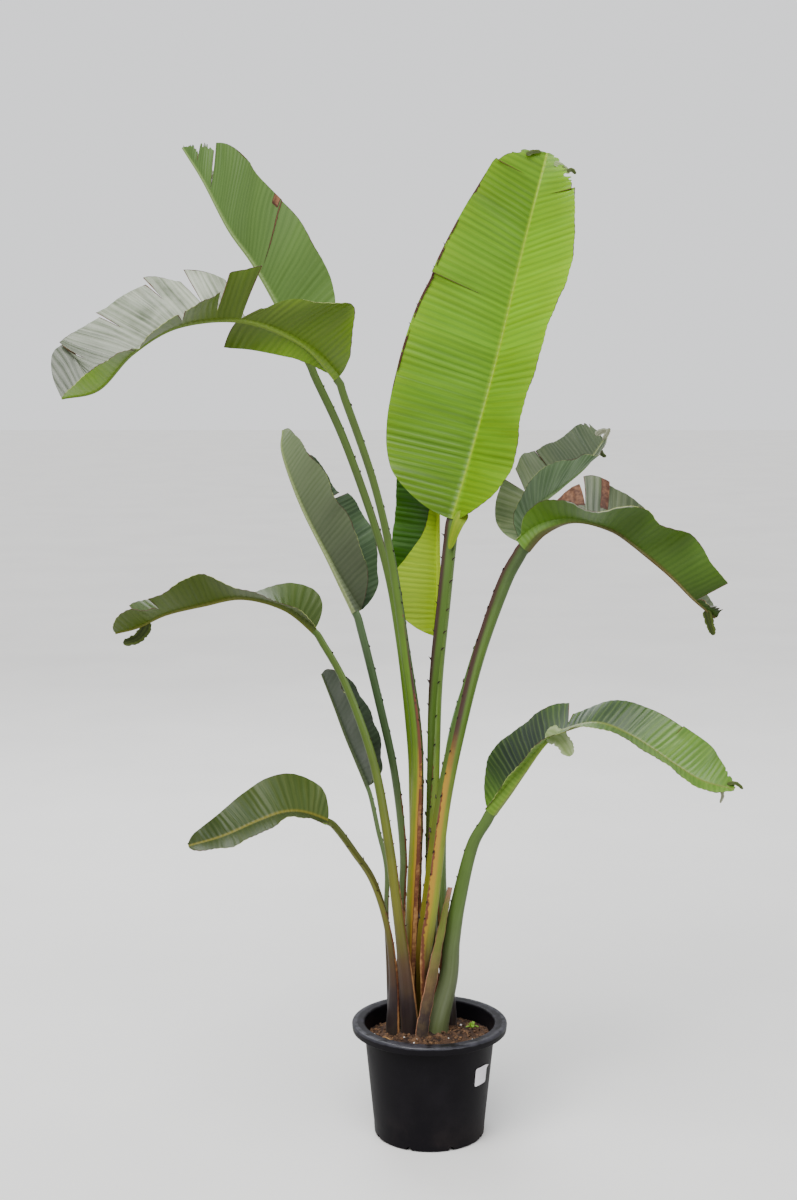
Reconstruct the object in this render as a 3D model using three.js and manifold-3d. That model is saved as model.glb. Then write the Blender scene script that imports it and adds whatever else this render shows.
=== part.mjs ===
// Potted bird of paradise: a nursery pot with eleven long-stalked leaves.
// Millimetres, +Z up, the middle of the pot's underside is the origin.
// The front of the plant looks along -Y; X runs to the right of someone facing it.
import * as THREE from "three";
import { mergeVertices } from "three/addons/utils/BufferGeometryUtils.js";
import Module from "manifold-3d";

const wasm = await Module();
wasm.setup();
const { Manifold, Mesh } = wasm;

// Driving dimensions
const POT_HEIGHT = 207;
const POT_RIM_R = 140;
const POT_MOUTH_R = 123;
const POT_BASE_R = 100;
const POT_WALL = 2.2;
const RIM_DROP = 15;
const SOIL_LEVEL = 178;
const SOIL_GAP = 0.4;
const STALK_SINK = 130;
const STALK_CLEAR = 192;
const HOLE_PLAY = 0.35;
const BLADE_THICK = 1.0;
const JOINT_GAP = 0.3;
const PLANT_AXIS = [-15, 40];

const DEG = Math.PI / 180;

// Small vector helpers
const add = (a, b) => [a[0] + b[0], a[1] + b[1], a[2] + b[2]];
const sub = (a, b) => [a[0] - b[0], a[1] - b[1], a[2] - b[2]];
const mul = (a, k) => [a[0] * k, a[1] * k, a[2] * k];
const dot = (a, b) => a[0] * b[0] + a[1] * b[1] + a[2] * b[2];
const cross = (a, b) => [
  a[1] * b[2] - a[2] * b[1],
  a[2] * b[0] - a[0] * b[2],
  a[0] * b[1] - a[1] * b[0],
];
const unit = (a) => mul(a, 1 / Math.hypot(a[0], a[1], a[2]));
const mix = (a, b, k) => add(mul(a, 1 - k), mul(b, k));

// Value of an evenly spaced list at t from 0 to 1, smooth between neighbours.
function along(list, t) {
  const x = Math.min(Math.max(t, 0), 1) * (list.length - 1);
  const i = Math.min(Math.floor(x), list.length - 2);
  const u = x - i;
  const [b, d] = [list[i], list[i + 1]];
  const a = i > 0 ? list[i - 1] : 2 * b - d;
  const e = i + 2 < list.length ? list[i + 2] : 2 * d - b;
  const c2 = a - 2.5 * b + 2 * d - e / 2;
  const c3 = (e - a) / 2 + 1.5 * (b - d);
  return b + u * ((d - a) / 2 + u * (c2 + u * c3));
}

// A smooth curve through points, read by its share of length.
// Past its ends it goes straight on.
function curve(points, first, last) {
  const p = [first, ...points, last];
  const path = [];
  const steps = 16;
  for (let i = 1; i < p.length - 2; i++) {
    for (let j = 0; j < steps; j++) {
      const u = j / steps;
      const c = [0, 1, 2].map((k) => {
        const [a, b, d, e] = [p[i - 1][k], p[i][k], p[i + 1][k], p[i + 2][k]];
        const c1 = (d - a) / 2;
        const c2 = a - 2.5 * b + 2 * d - e / 2;
        const c3 = (e - a) / 2 + 1.5 * (b - d);
        return b + u * (c1 + u * (c2 + u * c3));
      });
      path.push(c);
    }
  }
  path.push(points[points.length - 1]);
  const run = [0];
  for (let i = 1; i < path.length; i++) {
    const d = sub(path[i], path[i - 1]);
    run.push(run[i - 1] + Math.hypot(d[0], d[1], d[2]));
  }
  const total = run[run.length - 1];
  const at = (t) => {
    const s = t * total;
    let i = 0;
    while (i < path.length - 2 && run[i + 1] < s) i++;
    const f = (s - run[i]) / (run[i + 1] - run[i]);
    return mix(path[i], path[i + 1], f);
  };
  const way = (t) => {
    if (t <= 0) return unit(sub(points[1], first));
    if (t >= 1) return unit(sub(last, points[points.length - 2]));
    const a = Math.min(Math.max(t, 0.01), 0.99);
    return unit(sub(at(a + 0.01), at(a - 0.01)));
  };
  return { at, way, total };
}

// Mirror of the second point in the first, to start or end a curve evenly.
const beyond = (a, b) => sub(mul(a, 2), b);

// A closed mesh from points and triangles.
function named(name, points, faces, colour, roughness) {
  const geometry = new THREE.BufferGeometry();
  geometry.setAttribute(
    "position",
    new THREE.Float32BufferAttribute(points.flat(), 3),
  );
  geometry.setIndex(faces.flat());
  return dressed(name, geometry, colour, roughness);
}

function dressed(name, geometry, colour, roughness) {
  geometry.computeVertexNormals();
  const material = new THREE.MeshStandardMaterial({ color: colour, roughness });
  material.name = name;
  const mesh = new THREE.Mesh(geometry, material);
  mesh.name = name;
  return mesh;
}

// A skin through rings of equal length, closed by a flat cap at both ends.
function loft(rings) {
  const n = rings[0].length;
  const points = rings.flat();
  const faces = [];
  for (let i = 0; i < rings.length - 1; i++) {
    for (let j = 0; j < n; j++) {
      const a = i * n + j;
      const b = i * n + ((j + 1) % n);
      faces.push([a, b + n, b], [a, a + n, b + n]);
    }
  }
  for (const [ring, flip] of [
    [0, true],
    [rings.length - 1, false],
  ]) {
    const middle = mul(
      rings[ring].reduce((s, p) => add(s, p), [0, 0, 0]),
      1 / n,
    );
    points.push(middle);
    const c = points.length - 1;
    for (let j = 0; j < n; j++) {
      const a = ring * n + j;
      const b = ring * n + ((j + 1) % n);
      faces.push(flip ? [c, a, b] : [c, b, a]);
    }
  }
  return { points, faces };
}

// Section of a stalk: a half-round back and a groove on the inner side.
// groove is the depth of the channel, below zero where the top is round.
function stalkSection(width, depth, groove, grow) {
  const ring = [];
  const w = width / 2 + grow;
  const back = depth * 0.75 + grow;
  for (let k = 0; k <= 6; k++) {
    const a = Math.PI + (k * Math.PI) / 6;
    ring.push([w * Math.cos(a), back * Math.sin(a)]);
  }
  for (const x of [0.5, 0, -0.5]) {
    const dip = groove * (1 - x * x * 1.6);
    ring.push([w * x, grow + depth * 0.12 - dip]);
  }
  return ring;
}

// Frame across a curve: n leans to the hint, b is its right-hand side.
function frameAt(way, hint) {
  const n = unit(sub(hint, mul(way, dot(hint, way))));
  return { n, b: cross(way, n) };
}

function placed(section, point, frame) {
  return section.map(([x, y]) =>
    add(point, add(mul(frame.b, x), mul(frame.n, y))),
  );
}

// Stalk of a leaf, from its foot in the soil to the foot of the blade.
function stalkParts(leaf) {
  const foot = leaf.stalk[0];
  const low = [foot[0], foot[1], STALK_SINK];
  const start = [foot[0], foot[1], STALK_CLEAR];
  const points = [start, ...leaf.stalk.slice(1), leaf.rib[0]];
  const line = curve(points, sub(start, [0, 0, 60]), leaf.rib[1]);
  const inward = [PLANT_AXIS[0] - foot[0], PLANT_AXIS[1] - foot[1], 0];
  const base = leaf.open ? leaf.open : unit(inward);
  const upright = frameAt([0, 0, 1], base);
  const [w0, w1, w2] = leaf.wide;
  const foot0 = stalkSection(w0, w0 * 0.55, 0, 0);
  const rings = [
    placed(foot0, low, upright),
    placed(foot0, start, upright),
  ];
  const stations = 11;
  for (let i = 1; i <= stations; i++) {
    const t = i / stations;
    const hint = mix(base, leaf.face[0], Math.min(1, t * 1.1));
    const frame = frameAt(line.way(t), hint);
    const middle = sub(line.at(t), mul(line.way(t), t === 1 ? JOINT_GAP : 0));
    const width = along([w0, w1, (w1 + w2) / 2, w2 + 1, w2], t);
    const depth = width * along([0.55, 0.62, 0.75, 0.85, 0.9], t);
    const groove = depth * along([0, 0.42, 0.3, 0.1, 0], t);
    rings.push(placed(stalkSection(width, depth, groove, 0), middle, frame));
  }
  const hole = stalkSection(w0, w0 * 0.55, 0, HOLE_PLAY);
  return { rings, hole, low, upright, line };
}

// Rounds off the foot and the tip of a blade, over these shares of its rib.
const ROUND_SHARE = 0.1;
function rounding(t, footShare, tipShare) {
  const foot = 1 - Math.min(t / footShare, 1);
  const tip = Math.max(0, (t - 1 + tipShare) / tipShare);
  return Math.sqrt((1 - foot * foot) * (1 - tip * tip));
}

const ACROSS = [0, 0.32, 0.66, 1];
const COLUMNS = 20;

// A leaf blade: a folded sheet on a curved midrib, slit where it is torn.
function bladeParts(leaf) {
  const rib = leaf.rib;
  const line = curve(
    rib,
    leaf.stalk[leaf.stalk.length - 1],
    beyond(rib[rib.length - 1], rib[rib.length - 2]),
  );
  // Stations along the rib; a torn one stands there twice.
  const columns = [];
  for (let i = 0; i <= COLUMNS; i++) {
    const t = i / COLUMNS;
    if (leaf.tears.every((c) => Math.abs(c.t - t) > 0.018)) {
      columns.push({ t, tear: null, after: false });
    }
  }
  for (const tear of leaf.tears) {
    columns.push({ t: tear.t, tear, after: false });
    columns.push({ t: tear.t, tear, after: true });
  }
  columns.sort((a, b) => a.t - b.t || a.after - b.after);

  const rows = ACROSS.length;
  const span = 2 * rows + 1;
  const points = [];
  const keel = [];
  const id = [];
  columns.forEach((column, i) => {
    const row = [];
    for (let j = -rows; j <= rows; j++) {
      const side = Math.sign(j);
      const k = Math.abs(j) - 1;
      const v = k < 0 ? 0 : ACROSS[k];
      const { tear, after } = column;
      const split = after && side === tear.side && v > tear.root + 1e-6;
      if (after && !split) {
        row.push(id[i - 1][j + rows]);
        continue;
      }
      row.push(points.length);
      points.push(bladePoint(leaf, line, column, j === 0 ? -1 : v, side));
      const r = along([leaf.wide[2] * 0.46, 3.4, 2.4, 1.4], column.t);
      keel.push(j === 0 ? r * 1.5 : 0);
    }
    id.push(row);
  });

  // Cells between stations, cut across alike on the two halves.
  const cells = [];
  for (let i = 0; i < columns.length - 1; i++) {
    if (columns[i + 1].after) continue;
    for (let j = 0; j < span - 1; j++) {
      const [a, b] = [id[i][j], id[i][j + 1]];
      const [d, c] = [id[i + 1][j], id[i + 1][j + 1]];
      if (j < rows) cells.push([a, c, b], [a, d, c]);
      else cells.push([a, d, b], [b, d, c]);
    }
  }
  return thickened(points, cells, keel);
}

// A point of the sheet; v is -1 on the rib, 0 at its side and 1 at the margin.
function bladePoint(leaf, line, column, v, side) {
  const { t, tear, after } = column;
  const half = side > 0 ? leaf.right : leaf.left;
  const ribHalf = along([leaf.wide[2] * 0.46, 3.6, 2.6, 1.6], t);
  const out = Math.max(v, 0);
  const rounded = rounding(t, half.foot || ROUND_SHARE, half.tip || ROUND_SHARE);
  let reach = along(half.wide, t) * rounded;
  let turn = 0;
  let shift = 0;
  for (const c of leaf.tears) {
    if (c.side !== side) continue;
    const past = Math.max(0, out - c.root) / (1 - c.root);
    const dt = (t - c.t) * line.total;
    const late = (c === tear ? after : dt > 0) ? 1 : 0;
    const near = Math.exp(-Math.pow(dt / c.spread, 2));
    turn += near * past * c.turn[late];
    shift += near * past * c.shift[late];
    reach *= 1 - c.notch[late] * near;
  }
  reach = Math.max(reach, ribHalf + 3);
  const w = v < 0 ? 0 : ribHalf + (reach - ribHalf) * out;
  const ease = Math.min(1, t * 8);
  const lean = half.lean ? along(half.lean, t) : along(leaf.lean, t) * ease;
  const s = t + (lean * Math.max(w - ribHalf, 0) + shift) / line.total;
  const face = mix(leaf.face[0], leaf.face[1], t);
  const frame = frameAt(line.way(s), face);
  const wave = leaf.wave * out * ease * Math.sin(leaf.waves * t * 6.283 + side);
  const fold = (along(half.fold, t) + turn + wave) * DEG;
  const k = (half.curl * DEG) / 100;
  const small = Math.abs(k * w) < 1e-4;
  const flat = small
    ? w * Math.cos(fold)
    : (Math.sin(fold + k * w) - Math.sin(fold)) / k;
  const rise = small
    ? w * Math.sin(fold)
    : (Math.cos(fold) - Math.cos(fold + k * w)) / k;
  const sideways = mul(frame.b, side * flat);
  return add(add(line.at(s), sideways), mul(frame.n, rise));
}

// Gives a sheet its thickness and closes its edges.
function thickened(points, cells, keel) {
  const normals = points.map(() => [0, 0, 0]);
  for (const [a, b, c] of cells) {
    const n = cross(sub(points[b], points[a]), sub(points[c], points[a]));
    for (const i of [a, b, c]) normals[i] = add(normals[i], n);
  }
  const n = points.length;
  const top = points.map((p, i) => add(p, mul(unit(normals[i]), BLADE_THICK / 2)));
  const under = points.map((p, i) =>
    add(p, mul(unit(normals[i]), -BLADE_THICK / 2 - keel[i])),
  );
  const faces = [];
  const edges = new Map();
  for (const [a, b, c] of cells) {
    faces.push([a, b, c], [c + n, b + n, a + n]);
    for (const [p, q] of [
      [a, b],
      [b, c],
      [c, a],
    ]) {
      const back = q + "," + p;
      if (edges.has(back)) edges.delete(back);
      else edges.set(p + "," + q, [p, q]);
    }
  }
  for (const [p, q] of edges.values()) faces.push([q, p, p + n], [q, p + n, q + n]);
  return { points: [...top, ...under], faces };
}

// The leaves. stalk runs from the soil to the blade, rib along the blade.
// face is the way the upper side looks at the foot and at the tip. right and
// left are the halves: wide is the half width and fold the upward fold in
// degrees, both listed from foot to tip, and curl the bend in degrees over
// 100 mm. lean is how far the veins lean to the tip.
// A slit opens from root to the margin. shift, turn and notch give, before and
// after it, the slide along the rib, the added fold and the lost width.
const slit = (side, t, root, shift, turn, notch, spread) => ({
  side,
  t,
  root,
  shift,
  turn,
  notch,
  spread,
});
const RIGHT = 1;
const LEFT = -1;

const LEAVES = [
  {
    name: "a",
    stalk: [[-36, 36, 0], [-28, 30, 420], [-22, 20, 560], [-20, 10, 720], [-40, 5, 880],
      [-65, 0, 1050], [-95, -5, 1180], [-143, -10, 1320]],
    rib: [[-160, -12, 1360], [-225, -25, 1420], [-320, -50, 1455], [-425, -80, 1445],
      [-500, -100, 1400], [-555, -120, 1340], [-615, -130, 1325]],
    face: [[0, 0, 1], [0, 0, 1]],
    lean: [0, 0.1, 0.2, 0.3, 0.3],
    right: {
      wide: [14, 36, 88, 130, 122, 117, 95],
      fold: [-40, -56, 24, 40, 42, 56, 57],
      curl: 5,
    },
    left: {
      wide: [62, 103, 124, 110, 114, 100, 111, 116, 109, 90, 79, 69, 47],
      fold: [18, 38, 48, 42, 54, 46, 25, 7, 5, 22, 27, 19, 13],
      curl: 0,
      foot: 0.03,
      lean: [0.1, 0, -0.2, -0.28, -0.15, -0.06, 0.04, 0.18, 0.36, 0.22, 0.15, 0.2, 0.25],
    },
    tears: [
      slit(LEFT, 0.365, 0, [-22, 2], [0, 0], [0.72, 0], 45),
      slit(LEFT, 0.445, 0.2, [-12, 4], [8, -10], [0, 0.1], 30),
      slit(LEFT, 0.55, 0.3, [-6, 4], [0, 0], [0.1, 0.2], 35),
      slit(LEFT, 0.72, 0.05, [-4, -4], [0, 0], [0.3, 0], 25),
      slit(RIGHT, 0.34, 0, [15, 18], [-58, 22], [0, 0], 60),
      slit(RIGHT, 0.45, 0.32, [-4, 6], [0, -6], [0, 0.12], 35),
      slit(RIGHT, 0.54, 0.6, [-3, 3], [0, 3], [0, 0.16], 30),
      slit(RIGHT, 0.67, 0.5, [-4, 3], [0, 4], [0, 0.16], 40),
      slit(RIGHT, 0.8, 0.5, [-3, 3], [0, 0], [0.06, 0.1], 40),
    ],
    open: [1, -0.2, 0],
    wide: [34, 30, 17],
    colour: 0x5e8a34,
  },
  {
    name: "b",
    stalk: [[-26, 74, 0], [-24, 66, 420], [-26, 56, 600], [-30, 54, 710], [-50, 60, 890],
      [-80, 70, 1045], [-145, 85, 1235], [-202, 96, 1360]],
    rib: [[-215, 98, 1390], [-275, 130, 1495], [-318, 155, 1565], [-362, 182, 1625],
      [-412, 230, 1715], [-455, 280, 1780]],
    face: [[0.8, 0.5, 0.4], [0.6, 0.7, 0.4]],
    lean: [0, 0.3, 0.9, 1, 1],
    right: {
      wide: [60, 115, 110, 95, 75, 50, 15],
      fold: [60, 60, 55],
      curl: 8,
    },
    left: {
      wide: [62, 116, 120, 105, 84, 47, 7],
      fold: [34, 25, 23],
      curl: 8,
    },
    tears: [
      slit(LEFT, 0.37, 0.1, [-1, 1], [0, 2], [0.03, 0.03], 25),
      slit(LEFT, 0.76, 0, [-5, 12], [0, 10], [0, 0.25], 30),
      slit(LEFT, 0.88, 0.3, [-5, 3], [0, 8], [0, 0.4], 20),
      slit(RIGHT, 0.6, 0.32, [-6, 6], [0, 6], [0.1, 0], 30),
    ],
    open: [0.9, -0.4, 0],
    wide: [28, 24, 15],
    colour: 0x5f8c41,
  },
  {
    name: "c",
    stalk: [[8, 78, 0], [2, 72, 450], [5, 60, 665], [10, 75, 815], [25, 90, 960], [37, 103, 1070]],
    rib: [[42, 106, 1105], [70, 118, 1200], [120, 140, 1385], [170, 165, 1595], [212, 185, 1760]],
    face: [[-0.5, -0.86, 0.1], [-0.5, -0.8, 0.3]],
    lean: [-0.1, 0, 0.15, 0.25, 0.2],
    right: {
      wide: [64, 150, 166, 162, 146, 100, 36],
      fold: [32, 33, 38, 33, 23, 16, -10],
      curl: 0,
    },
    left: {
      wide: [100, 157, 171, 163, 138, 108, 72],
      fold: [28, 27, 31, 36, 42, 48, 33],
      curl: -3,
    },
    tears: [
      slit(LEFT, 0.58, 0.32, [-1, 1], [0, 3], [0.03, 0], 40),
      slit(RIGHT, 0.88, 0.32, [-1, 1], [0, 3], [0, 0.04], 30),
      slit(LEFT, 0.92, 0.32, [-1, 1], [0, 3], [0, 0.04], 30),
    ],
    wave: 0.5,
    open: [-1, 0.3, 0],
    wide: [30, 26, 24],
    colour: 0x87ad2c,
  },
  {
    name: "d",
    stalk: [[34, 84, 0], [14, 98, 450], [5, 104, 700], [15, 112, 790], [16, 122, 865]],
    rib: [[15, 126, 890], [15, 150, 1025], [15, 180, 1170], [5, 210, 1335]],
    face: [[-0.9, 0.4, 0.2], [-0.9, 0.4, 0.2]],
    lean: [0, 0.2, 0.3],
    right: {
      wide: [46, 74, 88, 58, 29, 16, 12, 10, 8, 7, 5],
      fold: [55, 55],
      curl: 5,
    },
    left: {
      wide: [30, 72, 90, 94, 90, 84, 70, 40, 10],
      fold: [60, 76, 80, 80, 78, 75, 70],
      curl: 3,
    },
    tears: [],
    open: [-0.9, 0.4, 0],
    wide: [22, 17, 12],
    colour: 0x6f9a2b,
  },
  {
    name: "e",
    stalk: [[-52, 68, 0], [-48, 78, 400], [-45, 90, 500], [-60, 100, 645], [-90, 112, 785],
      [-120, 123, 905]],
    rib: [[-130, 128, 935], [-170, 150, 1005], [-230, 185, 1115], [-270, 225, 1215],
      [-272, 250, 1260]],
    face: [[0.9, 0.1, 0.5], [0.9, 0.1, 0.4]],
    lean: [0, 0.2, 0.3],
    right: { wide: [48, 96, 114, 94, 62, 25], fold: [58, 58, 50], curl: 3 },
    left: { wide: [40, 85, 92, 85, 62, 25], fold: [40, 40, 40], curl: 8 },
    tears: [slit(RIGHT, 0.55, 0.32, [-5, 5], [0, -4], [0, 0.12], 40)],
    open: [1, 0, 0],
    wide: [26, 18, 18.5],
    colour: 0x5a7d4c,
  },
  {
    name: "f",
    stalk: [[-36, 4, 0], [-48, -10, 330], [-60, -20, 435], [-75, -25, 555], [-100, -35, 695],
      [-145, -50, 830], [-185, -65, 908]],
    rib: [[-200, -70, 930], [-250, -85, 970], [-320, -110, 990], [-385, -130, 980],
      [-445, -150, 967], [-490, -165, 947], [-527, -175, 938]],
    face: [[0, 0, 1], [0, 0, 1]],
    lean: [0, 0.2, 0.3, 0.3],
    right: {
      wide: [60, 66, 54, 58, 58, 58, 60, 36],
      fold: [68, 42, 4, 6, 22, 21, 36, 32],
      curl: 4,
    },
    left: {
      wide: [26, 34, 44, 56, 64, 84, 90, 90, 88, 80, 60],
      fold: [10, 8, 8, 10, 18, 44, 40, 32, 32, 32, 28],
      curl: 0,
    },
    tears: [
      slit(LEFT, 0.76, 0.32, [-3, 3], [3, -8], [0.05, 0.1], 30),
      slit(RIGHT, 0.6, 0.32, [-4, 4], [0, -6], [0.1, 0], 40),
      slit(RIGHT, 0.85, 0.32, [-4, 4], [0, -25], [0.1, 0.2], 40),
    ],
    wave: 1.5,
    open: [0.6, 0.8, 0],
    wide: [34, 20, 14],
    colour: 0x6d8230,
  },
  {
    name: "g",
    stalk: [[-68, 40, 0], [-76, 44, 380], [-75, 45, 475], [-90, 52, 545], [-102, 57, 600]],
    rib: [[-110, 60, 625], [-130, 68, 670], [-150, 75, 715], [-170, 85, 765], [-195, 95, 825]],
    face: [[0.9, 0.1, 0.5], [0.9, 0.1, 0.5]],
    lean: [0, 0.2, 0.3],
    right: { wide: [40, 70, 75, 62, 30], fold: [45, 45], curl: 5 },
    left: { wide: [40, 88, 96, 80, 45], fold: [15, 20], curl: 5 },
    tears: [],
    open: [1, 0, 0],
    wide: [20, 13, 10],
    colour: 0x4a5c48,
  },
  {
    name: "h",
    stalk: [[-67, 8, 0], [-65, 5, 285], [-75, 0, 385], [-100, -15, 470], [-135, -35, 530],
      [-165, -52, 576]],
    rib: [[-180, -60, 590], [-220, -80, 610], [-255, -100, 615], [-295, -118, 605],
      [-355, -148, 585], [-410, -175, 575]],
    face: [[-0.1, -0.6, 0.8], [-0.1, -0.6, 0.8]],
    lean: [0, 0.2, 0.3],
    right: {
      wide: [36, 66, 66, 54, 42, 28, 12],
      fold: [25, 25],
      curl: 5,
    },
    left: {
      wide: [14, 28, 34, 42, 48, 42, 20],
      fold: [25, 20],
      curl: 5,
    },
    tears: [],
    open: [0.8, 0.6, 0],
    wide: [26, 17, 12],
    colour: 0x4f7040,
  },
  {
    name: "i",
    stalk: [[-8, 42, 0], [-10, 0, 335], [0, -20, 435], [20, -25, 620], [50, -30, 775],
      [80, -38, 895], [120, -48, 1010], [143, -53, 1057]],
    rib: [[155, -55, 1075], [190, -65, 1105], [240, -78, 1120], [300, -95, 1105],
      [340, -105, 1080], [400, -125, 1030], [440, -138, 990], [475, -150, 960]],
    face: [[0, 0, 1], [0, 0, 1]],
    lean: [0, 0.15, 0.25, 0.25],
    right: {
      wide: [10, 46, 80, 87, 98, 90, 80, 72, 80, 58],
      fold: [42, 52, 28, 18, 46, 46, 80, 70, 56, 54],
      curl: 0,
    },
    left: {
      wide: [14, 30, 72, 82, 66, 60, 30],
      fold: [45, 52, 60, 46, 20, 12, 12],
      curl: 3,
      lean: [0, -0.25, -0.3, -0.2, 0, 0.1],
    },
    tears: [
      slit(LEFT, 0.31, 0.32, [-1, 6], [0, 0], [0.03, -0.18], 30),
      slit(LEFT, 0.4, 0.32, [-1, 1], [0, -3], [0, 0.08], 35),
      slit(RIGHT, 0.89, 0, [5, 8], [0, -30], [0, 0.6], 30),
    ],
    wave: 1.5,
    open: [-0.95, -0.3, 0],
    wide: [38, 34, 29],
    colour: 0x55702c,
  },
  {
    name: "j",
    stalk: [[40, 52, 0], [22, 58, 470], [35, 62, 700], [85, 66, 875], [130, 75, 1000],
      [154, 82, 1045]],
    rib: [[165, 88, 1065], [195, 125, 1125], [245, 185, 1160], [295, 245, 1195],
      [335, 300, 1240]],
    face: [[-0.5, 0.3, 0.8], [-0.5, 0.3, 0.8]],
    lean: [0, 0.3, 0.5, 0.4],
    right: {
      wide: [40, 68, 72, 56, 34, 12],
      fold: [40, 38, 20, 2, -4, -4],
      curl: 0,
    },
    left: {
      wide: [50, 82, 102, 84, 66, 46],
      fold: [55, 65, 70, 65],
      curl: 0,
      tip: 0.05,
      lean: [0, 0.15, 0.35, 0.5, 0.65, 0.8, 0.9],
    },
    tears: [
      slit(LEFT, 0.27, 0.4, [-8, 26], [0, 2], [0.02, 0.02], 40),
      slit(LEFT, 0.5, 0.32, [-1, 1], [0, 2], [0, 0.04], 30),
    ],
    open: [-0.8, 0.3, 0],
    wide: [26, 19, 12],
    colour: 0x53695c,
  },
  {
    name: "k",
    stalk: [[14, 8, 0], [35, 22, 280], [40, 20, 350], [50, 16, 425], [72, 9, 530], [96, 2, 578]],
    rib: [[105, 0, 595], [135, -10, 635], [160, -18, 670], [200, -35, 725], [235, -48, 750],
      [290, -68, 765], [350, -95, 745], [415, -125, 705], [460, -145, 680], [510, -165, 670]],
    face: [[-0.5, 0.2, 0.8], [0, 0, 1]],
    lean: [0, 0.15, 0.25, 0.25],
    right: {
      wide: [16, 22, 30, 46, 62, 66, 57, 20],
      fold: [20, 20, 8, -2, 8, 12, 4, -6],
      curl: 0,
    },
    left: {
      wide: [64, 86, 78, 66, 57, 62, 58, 26],
      fold: [48, 50, 42, 34, 52, 70, 58, 30],
      curl: 3,
    },
    tears: [
      slit(RIGHT, 0.42, 0.2, [-6, 6], [0, 6], [0.25, 0.1], 35),
      slit(LEFT, 0.4, 0.3, [-6, 6], [0, 0], [0.05, 0.5], 45),
      slit(LEFT, 0.72, 0.66, [-4, 4], [0, 4], [0.03, 0], 30),
    ],
    wave: 1.5,
    open: [-0.5, 0.85, 0],
    wide: [44, 34, 24],
    colour: 0x5d7660,
  },
];

const root = new THREE.Group();
root.name = "potted_bird_of_paradise";

// Leaves: each is a stalk and a blade
const stalks = [];
for (const leaf of LEAVES) {
  leaf.wave = leaf.wave || 3;
  leaf.waves = leaf.waves || 4;
  const stalk = stalkParts(leaf);
  stalks.push(stalk);
  const shaft = loft(stalk.rings);
  root.add(named("leaf_" + leaf.name + "_stalk", shaft.points, shaft.faces, 0x6c8f35, 0.5));
  const blade = bladeParts(leaf);
  root.add(named("leaf_" + leaf.name + "_blade", blade.points, blade.faces, leaf.colour, 0.45));
}

// A solid from points and triangles, for cutting.
function solid(points, faces) {
  const mesh = new Mesh({
    numProp: 3,
    vertProperties: new Float32Array(points.flat()),
    triVerts: new Uint32Array(faces.flat()),
  });
  return new Manifold(mesh);
}

// The same from a closed geometry.
function solidOf(geometry) {
  geometry.deleteAttribute("normal");
  geometry.deleteAttribute("uv");
  const merged = mergeVertices(geometry, 1e-3);
  const mesh = new Mesh({
    numProp: 3,
    vertProperties: new Float32Array(merged.attributes.position.array),
    triVerts: new Uint32Array(merged.index.array),
  });
  return new Manifold(mesh);
}

function fromSolid(name, body, colour, roughness) {
  const mesh = body.getMesh();
  const geometry = new THREE.BufferGeometry();
  const points = Array.from(mesh.vertProperties);
  geometry.setAttribute("position", new THREE.Float32BufferAttribute(points, 3));
  geometry.setIndex(Array.from(mesh.triVerts));
  return dressed(name, geometry, colour, roughness);
}

// Points of a turned ring.
const ringOf = (r, z, n) =>
  Array.from({ length: n }, (_, i) => {
    const a = (i * 2 * Math.PI) / n;
    return [r * Math.cos(a), r * Math.sin(a), z];
  });

// Pot: one turned wall with a rolled rim, open at the top
const WALL_TOP_R = 118.5;
const wallR = (z) => POT_BASE_R + 0.5 + ((WALL_TOP_R - POT_BASE_R - 0.5) * (z - 20)) / 178;
const POT_PROFILE = [
  [0, 0],
  [POT_BASE_R - 5, 0],
  [POT_BASE_R - 0.5, 4],
  [POT_BASE_R + 0.5, 20],
  [WALL_TOP_R, 198],
  [POT_RIM_R - 5, 201],
  [POT_RIM_R - 4, POT_HEIGHT - RIM_DROP],
  [POT_RIM_R - 1.5, POT_HEIGHT - RIM_DROP],
  [POT_RIM_R, 202],
  [POT_RIM_R - 2.5, 206],
  [POT_RIM_R - 9, POT_HEIGHT],
  [POT_MOUTH_R, 206],
  [WALL_TOP_R - POT_WALL, 197],
  [POT_BASE_R + 0.5 - POT_WALL, 20],
  [POT_BASE_R - 4, 4],
  [POT_BASE_R - 8, 3],
  [0, 3],
];
const POT_SIDES = 40;
const DRAIN_HOLES = 8;
const DRAIN_R = 6; // round holes in the floor
const DRAIN_OUT = 66; // how far they are from the middle
const DRAIN_DEEP = 12;
const SLOT_R = 5; // slots at the foot of the wall
const SLOT_LONG = 22;
const SLOT_OUT = 95;
const SLOT_Z = 2;
const potProfile = POT_PROFILE.map(([r, z]) => new THREE.Vector2(r, z));
const potTurned = new THREE.LatheGeometry(potProfile, POT_SIDES);
potTurned.rotateX(Math.PI / 2);
let potBody = solidOf(potTurned);
for (let i = 0; i < DRAIN_HOLES; i++) {
  const turn = (i * 2 * Math.PI) / DRAIN_HOLES;
  const hole = new THREE.CylinderGeometry(DRAIN_R, DRAIN_R, DRAIN_DEEP, 10);
  hole.rotateX(Math.PI / 2);
  hole.translate(DRAIN_OUT, 0, 1);
  hole.rotateZ(turn);
  const slot = new THREE.CylinderGeometry(SLOT_R, SLOT_R, SLOT_LONG, 8);
  slot.rotateZ(Math.PI / 2);
  slot.translate(SLOT_OUT, 0, SLOT_Z);
  slot.rotateZ(turn + Math.PI / DRAIN_HOLES);
  potBody = potBody.subtract(solidOf(hole)).subtract(solidOf(slot));
}
root.add(fromSolid("pot", potBody, 0x1c1a20, 0.45));

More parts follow.
